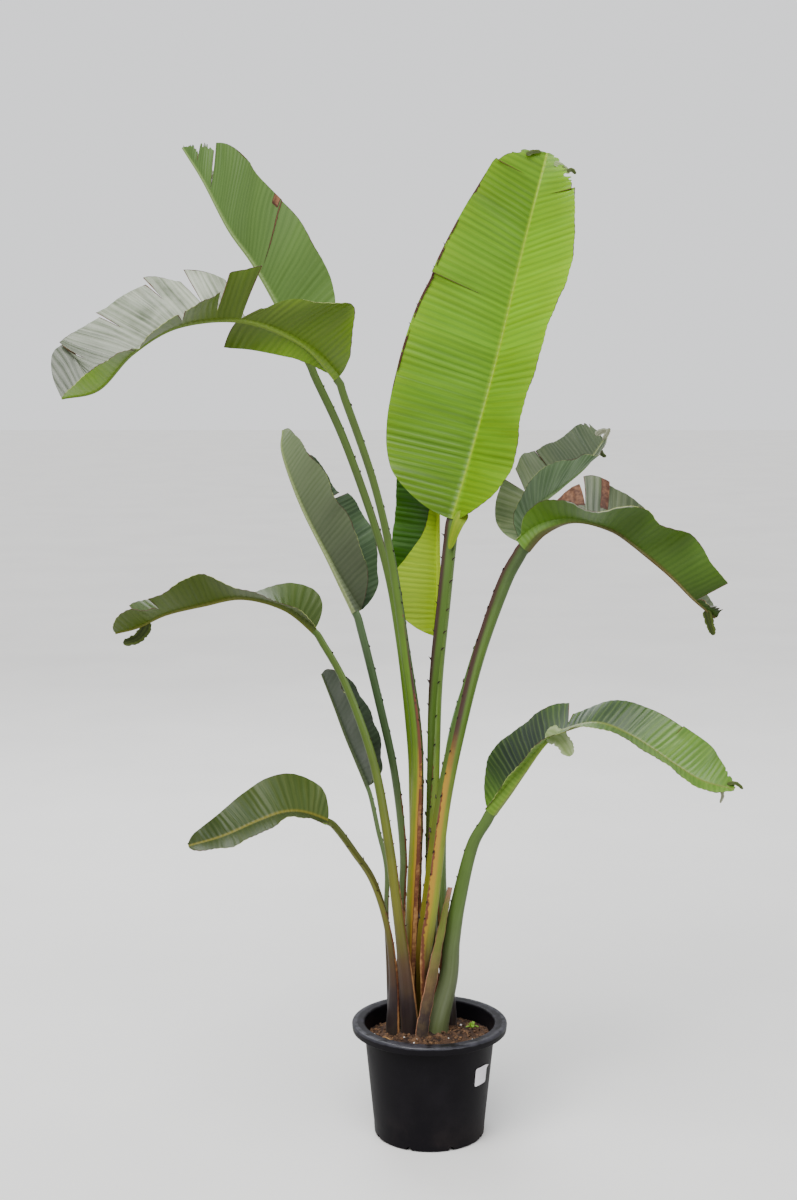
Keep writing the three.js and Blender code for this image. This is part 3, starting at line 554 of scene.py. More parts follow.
# %% Leaves A to D
LEAVES = [
    dict(
        name="a", seed=1, open=(1, -0.2, 0), wide=(34, 30, 17),
        band=(-1, 3, (1, 1, 1, 0.8, 0.3, 0, 0)),
        stalk=[(-36, 36, 0), (-28, 30, 420), (-22, 20, 560), (-20, 10, 720), (-40, 5, 880),
               (-65, 0, 1050), (-95, -5, 1180), (-143, -10, 1320)],
        rib=[(-160, -12, 1360), (-225, -25, 1420), (-320, -50, 1455), (-425, -80, 1445),
             (-500, -100, 1400), (-555, -120, 1340), (-615, -130, 1325)],
        face=((0, 0, 1), (0, 0, 1)), lean=(0, 0.1, 0.2, 0.3, 0.3),
        right=dict(wide=(14, 36, 88, 130, 122, 117, 95), fold=(-40, -56, 24, 40, 42, 56, 57),
                  curl=5),
        left=dict(wide=(62, 103, 124, 110, 114, 100, 111, 116, 109, 90, 79, 69, 47),
                 fold=(18, 38, 48, 42, 54, 46, 25, 7, 5, 22, 27, 19, 13), curl=0, foot=0.03,
                 lean=(0.1, 0, -0.2, -0.28, -0.15, -0.06, 0.04, 0.18, 0.36, 0.22, 0.15, 0.2, 0.25)),
        tears=[
            slit(LEFT, 0.365, 0, (-22, 2), (0, 0), (0.72, 0), 45),
            slit(LEFT, 0.445, 0.2, (-12, 4), (8, -10), (0, 0.1), 30),
            slit(LEFT, 0.55, 0.3, (-6, 4), (0, 0), (0.1, 0.2), 35),
            slit(LEFT, 0.72, 0.05, (-4, -4), (0, 0), (0.3, 0), 25),
            slit(RIGHT, 0.34, 0, (15, 18), (-58, 22), (0, 0), 60),
            slit(RIGHT, 0.45, 0.32, (-4, 6), (0, -6), (0, 0.12), 35),
            slit(RIGHT, 0.54, 0.6, (-3, 3), (0, 3), (0, 0.16), 30),
            slit(RIGHT, 0.67, 0.5, (-4, 3), (0, 4), (0, 0.16), 40),
            slit(RIGHT, 0.8, 0.5, (-3, 3), (0, 0), (0.06, 0.1), 40),
        ],
        top=("#4b583c", "#597726", "#c1c6b5", "#778340"),
        under=("#53681c", "#6b9400", "#697d2c", "#718a28"),
        gloss=0.3, lit_right=(0.7, 0.6, 0.1, 0, 0, 0, 0.1), lit_left=(0.4, 0.4, 0.1, 0, 0, 0.7, 1),
        dim_right=(1.1, 1.25, 1.25, 1.0, 0.95, 0.85, 0.6, 0.4),
        dim_left=(1, 1, 1, 1, 1.1, 1.4, 1.6),
        bloom_and_sheen_right=(0.3, 0.4, 0.8, 1.6, 1.7, 1.5, 1.1, 0.9), painted_sheen=0.3,
    ),
    dict(
        name="b", seed=2, open=(0.9, -0.4, 0), wide=(28, 24, 15),
        band=(-1, 3, (0.4, 0.5, 0.5, 0.6, 0.6, 0.4, 0)),
        stalk=[(-26, 74, 0), (-24, 66, 420), (-26, 56, 600), (-30, 54, 710), (-50, 60, 890),
               (-80, 70, 1045), (-145, 85, 1235), (-202, 96, 1360)],
        rib=[(-215, 98, 1390), (-275, 130, 1495), (-318, 155, 1565), (-362, 182, 1625),
             (-412, 230, 1715), (-455, 280, 1780)],
        face=((0.8, 0.5, 0.4), (0.6, 0.7, 0.4)), lean=(0, 0.3, 0.9, 1, 1),
        right=dict(wide=(60, 115, 110, 95, 75, 50, 15), fold=(60, 60, 55), curl=8),
        left=dict(wide=(62, 116, 120, 105, 84, 47, 7), fold=(34, 25, 23), curl=8,
                 ragged=(0.78, 0.14)),
        tears=[
            slit(LEFT, 0.37, 0.1, (-1, 1), (0, 2), (0.03, 0.03), 25),
            slit(LEFT, 0.76, 0, (-5, 12), (0, 10), (0, 0.25), 30),
            slit(LEFT, 0.88, 0.3, (-5, 3), (0, 8), (0, 0.4), 20),
            slit(RIGHT, 0.6, 0.32, (-6, 6), (0, 6), (0.1, 0), 30),
        ],
        top=("#3f5c28", "#5d8126", "#6a7e4c", "#859734"),
        under=("#48662b", "#608132", "#658542", "#768f4e"),
        gloss=0.42, lit_right=(0.4, 0.3, 0.2), lit_left=(0.5, 0.4, 0.2, 0.1), painted_sheen=0.06,
        patches=[patch(LEFT, 0.375, 0.398, 0.82, 1)],
    ),
    dict(
        name="c", seed=3, open=(-1, 0.3, 0), wide=(30, 26, 24),
        band=(-1, 7, (0, 0, 0, 0.2, 0.7, 1, 1)),
        stalk=[(8, 78, 0), (2, 72, 450), (5, 60, 665), (10, 75, 815), (25, 90, 960),
               (37, 103, 1070)],
        rib=[(42, 106, 1105), (70, 118, 1200), (120, 140, 1385), (170, 165, 1595),
             (212, 185, 1760)],
        face=((-0.5, -0.86, 0.1), (-0.5, -0.8, 0.3)), lean=(-0.1, 0, 0.15, 0.25, 0.2),
        right=dict(wide=(64, 150, 166, 162, 146, 100, 36), fold=(32, 33, 38, 33, 23, 16, -10),
                  curl=0, ragged=(0.9, 0.25)),
        left=dict(wide=(100, 157, 171, 163, 138, 108, 72), fold=(28, 27, 31, 36, 42, 48, 33),
                 curl=-3, ragged=(0.95, 0.22)),
        tears=[
            slit(LEFT, 0.58, 0.32, (1.5, -1.5), (0, 3), (0.03, 0), 40),
            slit(RIGHT, 0.88, 0.32, (1.5, -1.5), (0, 3), (0, 0.04), 30),
            slit(LEFT, 0.92, 0.32, (1.5, -1.5), (0, 3), (0, 0.04), 30),
        ],
        wave=0.5,
        top=("#4e7b00", "#7da300", "#7bb218", "#8fae10"),
        under=("#567b16", "#7ca416", "#7d9f30", "#9fb933"),
        gloss=0.38, lit_right=(0.9, 0.55, 0.5, 0.55, 0.5, 0.4),
        lit_left=(0.4, 0.2, 0.2, 0.3, 0.3, 0.4), burnt_left=(0.5, 1, 2, 4.5, 4, 1.5),
        dim_right=(0.88, 1.15, 1.4, 1.3, 1.1), dim_left=(0.56, 0.82, 1, 1, 0.92, 0.8),
        painted_sheen=0.0, spacing=0.0118, groove=0.42, wander=2.6, glow=0.8,
    ),
    dict(
        name="d", seed=4, open=(-0.9, 0.4, 0), wide=(22, 17, 12),
        stalk=[(34, 84, 0), (14, 98, 450), (5, 104, 700), (15, 112, 790), (16, 122, 865)],
        rib=[(15, 126, 890), (15, 150, 1025), (15, 180, 1170), (5, 210, 1335)],
        face=((-0.9, 0.4, 0.2), (-0.9, 0.4, 0.2)), lean=(0, 0.2, 0.3),
        right=dict(wide=(46, 74, 88, 58, 29, 16, 12, 10, 8, 7, 5), fold=(55, 55), curl=5),
        left=dict(wide=(30, 72, 90, 94, 90, 84, 70, 40, 10), fold=(60, 76, 80, 80, 78, 75, 70),
                 curl=3),
        top=("#244e00", "#578b00", "#396f06", "#6d9c06"),
        under=("#7fa300", "#a1be00", "#97ba08", "#afca0b"),
        gloss=0.42, lit_right=(0.8, 0.7, 0.5), lit_left=(0.2, 0.1, 0.1), painted_sheen=0.0,
        groove=0.35, glow=0.3,
    ),
]
print("first records:", [leaf["name"] for leaf in LEAVES])

# %% Leaves E to H
LEAVES += [
    dict(
        name="e", seed=5, open=(1, 0, 0), wide=(26, 18, 18.5),
        stalk=[(-52, 68, 0), (-48, 78, 400), (-45, 90, 500), (-60, 100, 645), (-90, 112, 785),
               (-120, 123, 905)],
        rib=[(-130, 128, 935), (-170, 150, 1005), (-230, 185, 1115), (-270, 225, 1215),
             (-272, 250, 1260)],
        face=((0.9, 0.1, 0.5), (0.9, 0.1, 0.4)), lean=(0, 0.2, 0.3),
        right=dict(wide=(48, 96, 114, 94, 62, 25), fold=(58, 58, 50), curl=3),
        left=dict(wide=(40, 85, 92, 85, 62, 25), fold=(40, 40, 40), curl=8),
        tears=[slit(RIGHT, 0.55, 0.32, (-5, 5), (0, -4), (0, 0.12), 40)],
        top=("#2b3c2a", "#435b32", "#506444", "#5c723f"),
        under=("#677750", "#8b9c71", "#83906a", "#9aab69"),
        gloss=0.4, lit_right=(0.1, 0.0, 0.1), lit_left=(0.2, 0.2, 0.8), painted_sheen=0.12,
        dim_left=(0.35, 0.45, 0.75, 1.05, 1.1), dim_right=(1.6, 1.5, 1.15, 1),
    ),
    dict(
        name="f", seed=6, open=(0.6, 0.8, 0), wide=(34, 20, 14),
        stalk=[(-36, 4, 0), (-48, -10, 330), (-60, -20, 435), (-75, -25, 555), (-100, -35, 695),
               (-145, -50, 830), (-185, -65, 908)],
        rib=[(-200, -70, 930), (-250, -85, 970), (-320, -110, 990), (-385, -130, 980),
             (-445, -150, 967), (-490, -165, 947), (-527, -175, 938)],
        face=((0, 0, 1), (0, 0, 1)), lean=(0, 0.2, 0.3, 0.3),
        right=dict(wide=(60, 66, 54, 58, 58, 58, 60, 36), fold=(68, 42, 4, 6, 22, 21, 36, 32),
                  curl=4, ragged=(0.86, 0.2)),
        left=dict(wide=(26, 34, 44, 56, 64, 84, 90, 90, 88, 80, 60),
                 fold=(10, 8, 8, 10, 18, 44, 40, 32, 32, 32, 28), curl=0),
        tears=[
            slit(LEFT, 0.76, 0.32, (-3, 3), (3, -8), (0.05, 0.1), 30),
            slit(RIGHT, 0.6, 0.32, (-4, 4), (0, -6), (0.1, 0), 40),
            slit(RIGHT, 0.85, 0.32, (-4, 4), (0, -25), (0.1, 0.2), 40),
        ],
        wave=1.5,
        top=("#32431a", "#4c6119", "#556137", "#68712d"),
        under=("#404f07", "#546c00", "#506017", "#6f7019"),
        gloss=0.42, lit_right=(0.3, 0.4, 0.3), lit_left=(0.1, 0.4, 0.5, 0.6, 0.5), painted_sheen=0.04,
        bloom_and_sheen_right=(0.2, 0.2, 0.3, 0.6, 1),
    ),
    dict(
        name="g", seed=7, open=(1, 0, 0), wide=(20, 13, 10),
        stalk=[(-68, 40, 0), (-76, 44, 380), (-75, 45, 475), (-90, 52, 545), (-102, 57, 600)],
        rib=[(-110, 60, 625), (-130, 68, 670), (-150, 75, 715), (-170, 85, 765), (-195, 95, 825)],
        face=((0.9, 0.1, 0.5), (0.9, 0.1, 0.5)), lean=(0, 0.2, 0.3),
        right=dict(wide=(40, 70, 75, 62, 30), fold=(45, 45), curl=5),
        left=dict(wide=(40, 88, 96, 80, 45), fold=(15, 20), curl=5),
        top=("#2f3b2a", "#3c4b2f", "#46553e", "#57653c"),
        under=("#36452e", "#455237", "#49553d", "#57653d"),
        gloss=0.42, lit_right=(0.2, 0.1), lit_left=(0.2, 0.2), painted_sheen=0.05,
    ),
    dict(
        name="h", seed=8, open=(0.8, 0.6, 0), wide=(26, 17, 12),
        stalk=[(-67, 8, 0), (-65, 5, 285), (-75, 0, 385), (-100, -15, 470), (-135, -35, 530),
               (-165, -52, 576)],
        rib=[(-180, -60, 590), (-220, -80, 610), (-255, -100, 615), (-295, -118, 605),
             (-355, -148, 585), (-410, -175, 575)],
        face=((-0.1, -0.6, 0.8), (-0.1, -0.6, 0.8)), lean=(0, 0.2, 0.3),
        right=dict(wide=(36, 66, 66, 54, 42, 28, 12), fold=(25, 25), curl=5),
        left=dict(wide=(14, 28, 34, 42, 48, 42, 20), fold=(25, 20), curl=5),
        top=("#293913", "#3c4816", "#41481f", "#726d27"),
        under=("#5c7635", "#759237", "#7a9849", "#9cab54"),
        gloss=0.4, lit_right=(0.2, 0.2, 0.1, 0.2), lit_left=(0.2, 0.3, 0.4), painted_sheen=0.04,
        bloom_and_sheen_right=(0.9, 0.5, 0.5), bloom_and_sheen_left=(0.6, 0.5, 0.5),
        dim_right=(1.9, 1.6, 1.25, 1.1), dim_left=(1.25, 1.2, 1.2),
    ),
]
print("so far:", [leaf["name"] for leaf in LEAVES])

# %% Leaves I to K
LEAVES += [
    dict(
        name="i", seed=9, open=(-0.95, -0.3, 0), wide=(38, 34, 29),
        band=(1, 4, (0.3, 0.5, 0.8, 1, 1, 1, 0.8)),
        stalk=[(-8, 42, 0), (-10, 0, 335), (0, -20, 435), (20, -25, 620), (50, -30, 775),
               (80, -38, 895), (120, -48, 1010), (143, -53, 1057)],
        rib=[(155, -55, 1075), (190, -65, 1105), (240, -78, 1120), (300, -95, 1105),
             (340, -105, 1080), (400, -125, 1030), (440, -138, 990), (475, -150, 960)],
        face=((0, 0, 1), (0, 0, 1)), lean=(0, 0.15, 0.25, 0.25),
        right=dict(wide=(10, 46, 80, 87, 98, 90, 80, 72, 80, 58),
                  fold=(42, 52, 28, 18, 46, 46, 80, 70, 56, 54), curl=0, ragged=(0.9, 0.4)),
        left=dict(wide=(14, 30, 72, 82, 66, 60, 30), fold=(45, 52, 60, 46, 20, 12, 12), curl=3,
                 lean=(0, -0.25, -0.3, -0.2, 0, 0.1)),
        tears=[
            slit(LEFT, 0.31, 0.32, (-1, 6), (0, 0), (0.03, -0.18), 30),
            slit(LEFT, 0.4, 0.32, (1, -1), (0, -3), (0, 0.04), 35),
            slit(RIGHT, 0.89, 0, (5, 8), (0, -30), (0, 0.6), 30),
        ],
        wave=1.5,
        top=("#3a462f", "#536634", "#7e8966", "#6f7c35"),
        under=("#43650f", "#5f8a12", "#58752a", "#5f5228"),
        gloss=0.4, lit_right=(0.6, 0.5, 0.3, 0.1, 0.1), lit_left=(0.1, 0.1, 0.3), painted_sheen=0.12,
        dim_right=(1, 1, 1, 0.9, 0.9, 0.8, 0.65, 0.6), dim_left=(0.8, 0.75, 0.8, 1),
        patches=[patch(LEFT, 0.13, 0.31, 0.35, 0.9), patch(LEFT, 0.37, 0.4, 0.3, 0.85)],
        # A painted highlight near the margin of the right half.
        painted_highlight=[patch(RIGHT, 0.24, 0.42, 0.93, 0.9)],
    ),
    dict(
        name="j", seed=10, open=(-0.8, 0.3, 0), wide=(26, 19, 12),
        stalk=[(40, 52, 0), (22, 58, 470), (35, 62, 700), (85, 66, 875), (130, 75, 1000),
               (154, 82, 1045)],
        rib=[(165, 88, 1065), (195, 125, 1125), (245, 185, 1160), (295, 245, 1195),
             (335, 300, 1240)],
        face=((-0.5, 0.3, 0.8), (-0.5, 0.3, 0.8)), lean=(0, 0.3, 0.5, 0.4),
        right=dict(wide=(40, 68, 72, 56, 34, 12), fold=(40, 38, 20, 2, -4, -4), curl=0),
        left=dict(wide=(50, 82, 102, 84, 66, 46), fold=(55, 65, 70, 65), curl=0, tip=0.05,
                 ragged=(0.9, 0.2), lean=(0, 0.15, 0.35, 0.5, 0.65, 0.8, 0.9)),
        tears=[
            slit(LEFT, 0.27, 0.4, (-8, 26), (0, 2), (0.02, 0.02), 40),
            slit(LEFT, 0.5, 0.32, (1, -1), (0, 2), (0, 0.04), 30),
        ],
        top=("#505f48", "#6a7b4f", "#838b6a", "#97a268"),
        under=("#3c5d2f", "#5c8043", "#9bb489", "#819c60"),
        gloss=0.36, lit_right=(0.1, 0.2, 0.3), lit_left=(0.1, 0.0, 0.2), painted_sheen=0.22,
        bloom_and_sheen_left=(2.3, 1.9, 0.8, 0.5, 0.7), bloom_and_sheen_right=(1, 1, 0.8),
        dim_left=(2.5, 1.8, 1.1, 1.1),
    ),
    dict(
        name="k", seed=11, open=(-0.5, 0.85, 0), wide=(44, 34, 24),
        stalk=[(14, 8, 0), (35, 22, 280), (40, 20, 350), (50, 16, 425), (72, 9, 530), (96, 2, 578)],
        rib=[(105, 0, 595), (135, -10, 635), (160, -18, 670), (200, -35, 725), (235, -48, 750),
             (290, -68, 765), (350, -95, 745), (415, -125, 705), (460, -145, 680),
             (510, -165, 670)],
        face=((-0.5, 0.2, 0.8), (0, 0, 1)), lean=(0, 0.15, 0.25, 0.25),
        right=dict(wide=(16, 22, 30, 46, 62, 66, 57, 20), fold=(20, 20, 8, -2, 8, 12, 4, -6),
                  curl=0),
        left=dict(wide=(64, 86, 78, 66, 57, 62, 58, 26), fold=(48, 50, 42, 34, 52, 70, 58, 30),
                 curl=3, ragged=(0.93, 0.25)),
        tears=[
            slit(RIGHT, 0.42, 0.2, (-6, 6), (0, 6), (0.25, 0.1), 35),
            slit(LEFT, 0.4, 0.3, (-6, 6), (0, 0), (0.05, 0.5), 45),
            slit(LEFT, 0.72, 0.66, (1, -1), (0, 4), (0.03, 0), 30),
        ],
        wave=1.5,
        top=("#2b3634", "#5f8a24", "#7c9a44", "#74803c"),
        under=("#4b6a1c", "#739b12", "#7c9e38", "#81962f"),
        gloss=0.36, lit_right=(0.3, 0.2, 0.4, 0.6, 1), lit_left=(1, 0, 0, 0.1, 0.3, 0.6, 0.8, 1),
        dim_left=(0.9, 0.75, 0.7, 0.95, 0.74, 1.12, 0.9, 0.78),
        bloom_and_sheen_left=(0.2, 0.2, 0.2, 0.3, 0.1, 0.5, 0.6, 0.1),
        painted_sheen=0.08,
    ),
]
for leaf in LEAVES:
    leaf.setdefault("tears", [])
print("records:", len(LEAVES), "leaves,", sum(len(leaf["tears"]) for leaf in LEAVES), "tears")

# %% [markdown]
# ## Blades
# A blade is one thin sheet folded along a stiff midrib. It could be sculpted, but a
# formula keeps the veins, the tears and the edge together: each point is named by
# its share t of the midrib and its share out of the half width. The wind tears the
# sheet along its veins, so a tear is a row of points that stands there twice, and
# the two copies part. After the sheet is laid out, it gets a ripple from the veins
# and its two skins.

# %% Rows and columns of a blade
SHEET = 0.7
ROW_STEP = 2.6
NEAR_A_TEAR = (-4, -1.8, -0.8, 0.8, 1.8, 4)
ROW_GAP = 0.6
RIB_SHARE_OF_STALK = 0.46
RIB_HALF_WIDE = (3.6, 2.6, 1.6)
RIB_RADIUS = (3.4, 2.4, 1.4)
RIB_SHARES = (0.35, 0.7, 1.0)
OUT_SHARES = (0.03, 0.08, 0.14, 0.21, 0.28, 0.34, 0.41, 0.48, 0.55, 0.62, 0.68, 0.74, 0.8,
              0.86, 0.91, 0.955, 0.985, 1.0)


def rib_line(leaf):
    """The midrib, which comes out of the stalk and ends straight."""
    before, last = np.array(leaf["rib"][-2:])
    return Line(leaf["rib"], leaf["stalk"][-1], 2 * last - before)


def blade_rows(leaf, total):
    """Shares of the midrib with a row of points: (t, tear or -1, 1 on its far lip)."""
    cuts = leaf["tears"]
    count = int(total / ROW_STEP)
    wanted = [i / count for i in range(count + 1)]
    for cut in cuts:
        wanted += [cut["t"] + d / total for d in NEAR_A_TEAR]
    gap = ROW_GAP / total
    kept = []
    for t in sorted(wanted):
        clear = all(abs(t - cut["t"]) > gap for cut in cuts)
        if 0 <= t <= 1 and clear and (not kept or t - kept[-1] > gap):
            kept.append(t)
    rows = [(t, -1, 0) for t in kept]
    for k, cut in enumerate(cuts):
        rows += [(cut["t"], k, 0), (cut["t"], k, 1)]
    return sorted(rows)


def rounding(t, foot_share, tip_share):
    """Rounds off the foot and the tip of a blade."""
    foot = 1 - np.minimum(t / foot_share, 1)
    tip = np.maximum(0, (t - 1 + tip_share) / tip_share)
    return np.sqrt((1 - foot * foot) * (1 - tip * tip))


print("points from midrib to margin:", len(RIB_SHARES) + len(OUT_SHARES))

# %% One half of a blade
TOOTH_SIZE, TOOTH_DRIFT = 1.5, 4.7


def half_sheet(leaf, line, rows, side):
    """Points of one half from the midrib out, with what the skin wants to know."""
    half = leaf["right"] if side > 0 else leaf["left"]
    t = np.array([row[0] for row in rows])[:, None]
    which = np.array([row[1] for row in rows])[:, None]
    far_lip = np.array([row[2] for row in rows])[:, None]
    out = np.array([0] * len(RIB_SHARES) + list(OUT_SHARES))[None, :]
    share = np.array(list(RIB_SHARES) + [1] * len(OUT_SHARES))[None, :]
    rib_half = along([leaf["wide"][2] * RIB_SHARE_OF_STALK, *RIB_HALF_WIDE], t)
    reach = along(half["wide"], t) * rounding(t, half.get("foot", 0.1), half.get("tip", 0.1))
    turn = shift = torn = 0 * (t + out)

    # Each tear turns, slides and shortens the sheet near it, and marks its lips.
    for k, cut in enumerate(leaf["tears"]):
        if cut["side"] != side:
            continue
        past = np.maximum(0, out - cut["root"]) / (1 - cut["root"])
        away = (t - cut["t"]) * line.total
        late = np.where(which == k, far_lip, away > 0)
        near = np.exp(-(away / cut["spread"]) ** 2)
        turn = turn + near * past * np.where(late, cut["turn"][1], cut["turn"][0])
        shift = shift + near * past * np.where(late, cut["shift"][1], cut["shift"][0])
        reach = reach * (1 - near * np.where(late, cut["notch"][1], cut["notch"][0]))
        lip = np.exp(-np.abs(away) / 1.6) * (out > cut["root"] + 0.01)
        torn = np.maximum(torn, lip * np.minimum(1, 0.55 + past))
    if "ragged" in half:
        # Near the tip the margin breaks into uneven teeth about 9 mm apart.
        first, depth = half["ragged"]
        along_mm = t * line.total
        tooth = 0.5 + 0.9 * np.sin(along_mm / TOOTH_SIZE + 2 * np.sin(along_mm / TOOTH_DRIFT))
        reach = reach * (1 - depth * np.clip((t - first) * 30, 0, 1) * np.clip(tooth, 0, 1))
    reach = np.maximum(reach, rib_half + 3)

    # The place on the midrib that a vein starts from, and the bent way out from it.
    w = rib_half * share + (reach - rib_half) * out
    ease = np.minimum(1, t * 8)
    lean = along(half["lean"], t) if "lean" in half else along(leaf["lean"], t) * ease
    s = t + (lean * np.maximum(w - rib_half, 0) + shift) / line.total
    first, last = (np.array(f, float) for f in leaf["face"])
    face = first * (1 - t[..., None]) + last * t[..., None]
    up, across = side_frame(line.way(s), face)
    wave = leaf.get("wave", 3) * out * ease * np.sin(4 * t * CYCLE + side)
    fold = np.radians(along(half["fold"], t) + turn + wave)
    bend = math.radians(half["curl"]) / 100 or 1e-6
    flat = (np.sin(fold + bend * w) - np.sin(fold)) / bend
    rise = (np.cos(fold) - np.cos(fold + bend * w)) / bend
    points = line.at(s) + across * (side * flat)[..., None] + up * rise[..., None]
    numbers = dict(
        t=t + 0 * w, out=out + 0 * w, share=share + 0 * w, w=w, edge=reach - w, torn=torn,
        side=side + 0 * w, vein=t * line.total + 0 * w,
    )
    return points, numbers


print("teeth of the frayed tips:", round(CYCLE * TOOTH_SIZE, 1), "mm apart")

# %% [markdown]
# Dryness comes from three places: the lips of the tears, the margin, which browns in
# stretches, and whole panels that died between two veins. The tone is a small step
# in brightness from one torn panel to the next; painted light and shade, listed along
# each half, make whole stretches lighter or darker on top of it.

# %% What a blade carries
def blade_numbers(leaf, n, total):
    """Turns the plain measures of the grid into what the skin reads."""
    seed = leaf["seed"]

    def by_side(name, usual):
        """A list of each half, read along the midrib."""
        right, left = (along(leaf.get(f"{name}_{half}", (usual, usual)), n["t"])
                       for half in ("right", "left"))
        return np.where(n["side"] > 0, right, left)

    def within(area):
        """True between the two veins of a patch."""
        return (n["side"] == area["side"]) & (n["t"] > area["start"]) & (n["t"] < area["end"])

    patchy = 0.5 + 0.5 * wobble(n["vein"] + 90 * n["side"], seed, 150)
    margin = np.exp(-n["edge"] / ((0.6 + 1.4 * patchy) * by_side("burnt", 1)))
    dry = np.maximum(margin * (0.35 + 0.5 * patchy), n["torn"])
    tone_and_painted_light = 0.5 + 0.22 * wobble(n["vein"], seed + 3, 300) + 0.12 * n["side"] * (seed % 3 - 1)
    for cut in leaf["tears"]:
        beyond = (n["side"] == cut["side"]) & (n["t"] >= cut["t"])
        tone_and_painted_light = tone_and_painted_light + beyond * (((seed * 5 + int(cut["t"] * 97)) % 7) - 3) * 0.05
    for area in leaf.get("patches", ()):
        inside = within(area)
        reach_in = np.clip((n["out"] - area["inner"]) * 14, 0, 1)
        dry = np.maximum(dry, inside * reach_in * area["amount"])
    lit = np.clip(by_side("lit", 0) + 0.15 * wobble(n["vein"], seed + 5, 90) * n["out"], 0, 1)
    lit = lit + (1 - lit) * leaf.get("glow", 0.2) * n["out"] ** 6
    rib = np.clip(1.35 - n["w"] / (3.2 * (1.25 - 0.5 * n["t"])), 0, 1)
    # Painted highlight: near-white between two veins, near the margin.
    painted_highlight = 0 * n["t"]
    for area in leaf.get("painted_highlight", ()):
        inside = within(area)
        reach_in = np.clip((n["out"] - area["inner"]) * 20, 0, 1)
        painted_highlight = np.maximum(painted_highlight, inside * reach_in * area["amount"])
    # Painted light and shade: each half is made lighter or darker along its length.
    tone_and_painted_light = (0.82 + 0.35 * np.clip(tone_and_painted_light, 0, 1)) * by_side("dim", 1)
    return dict(vein=n["vein"] * MM, out=n["out"], dry=np.clip(dry, 0, 1), lit=lit,
                tone_and_painted_light=tone_and_painted_light, bloom_and_sheen=by_side("bloom_and_sheen", 1), rib=rib, painted_highlight=painted_highlight)

# %% Build a blade
RIPPLE_SIZE = 11.0
RIPPLE_DEPTH = 0.45
FLUTTER_DEPTH = 2.2
VEIN_SPACING = 0.009
VEIN_DEPTH = 0.0005


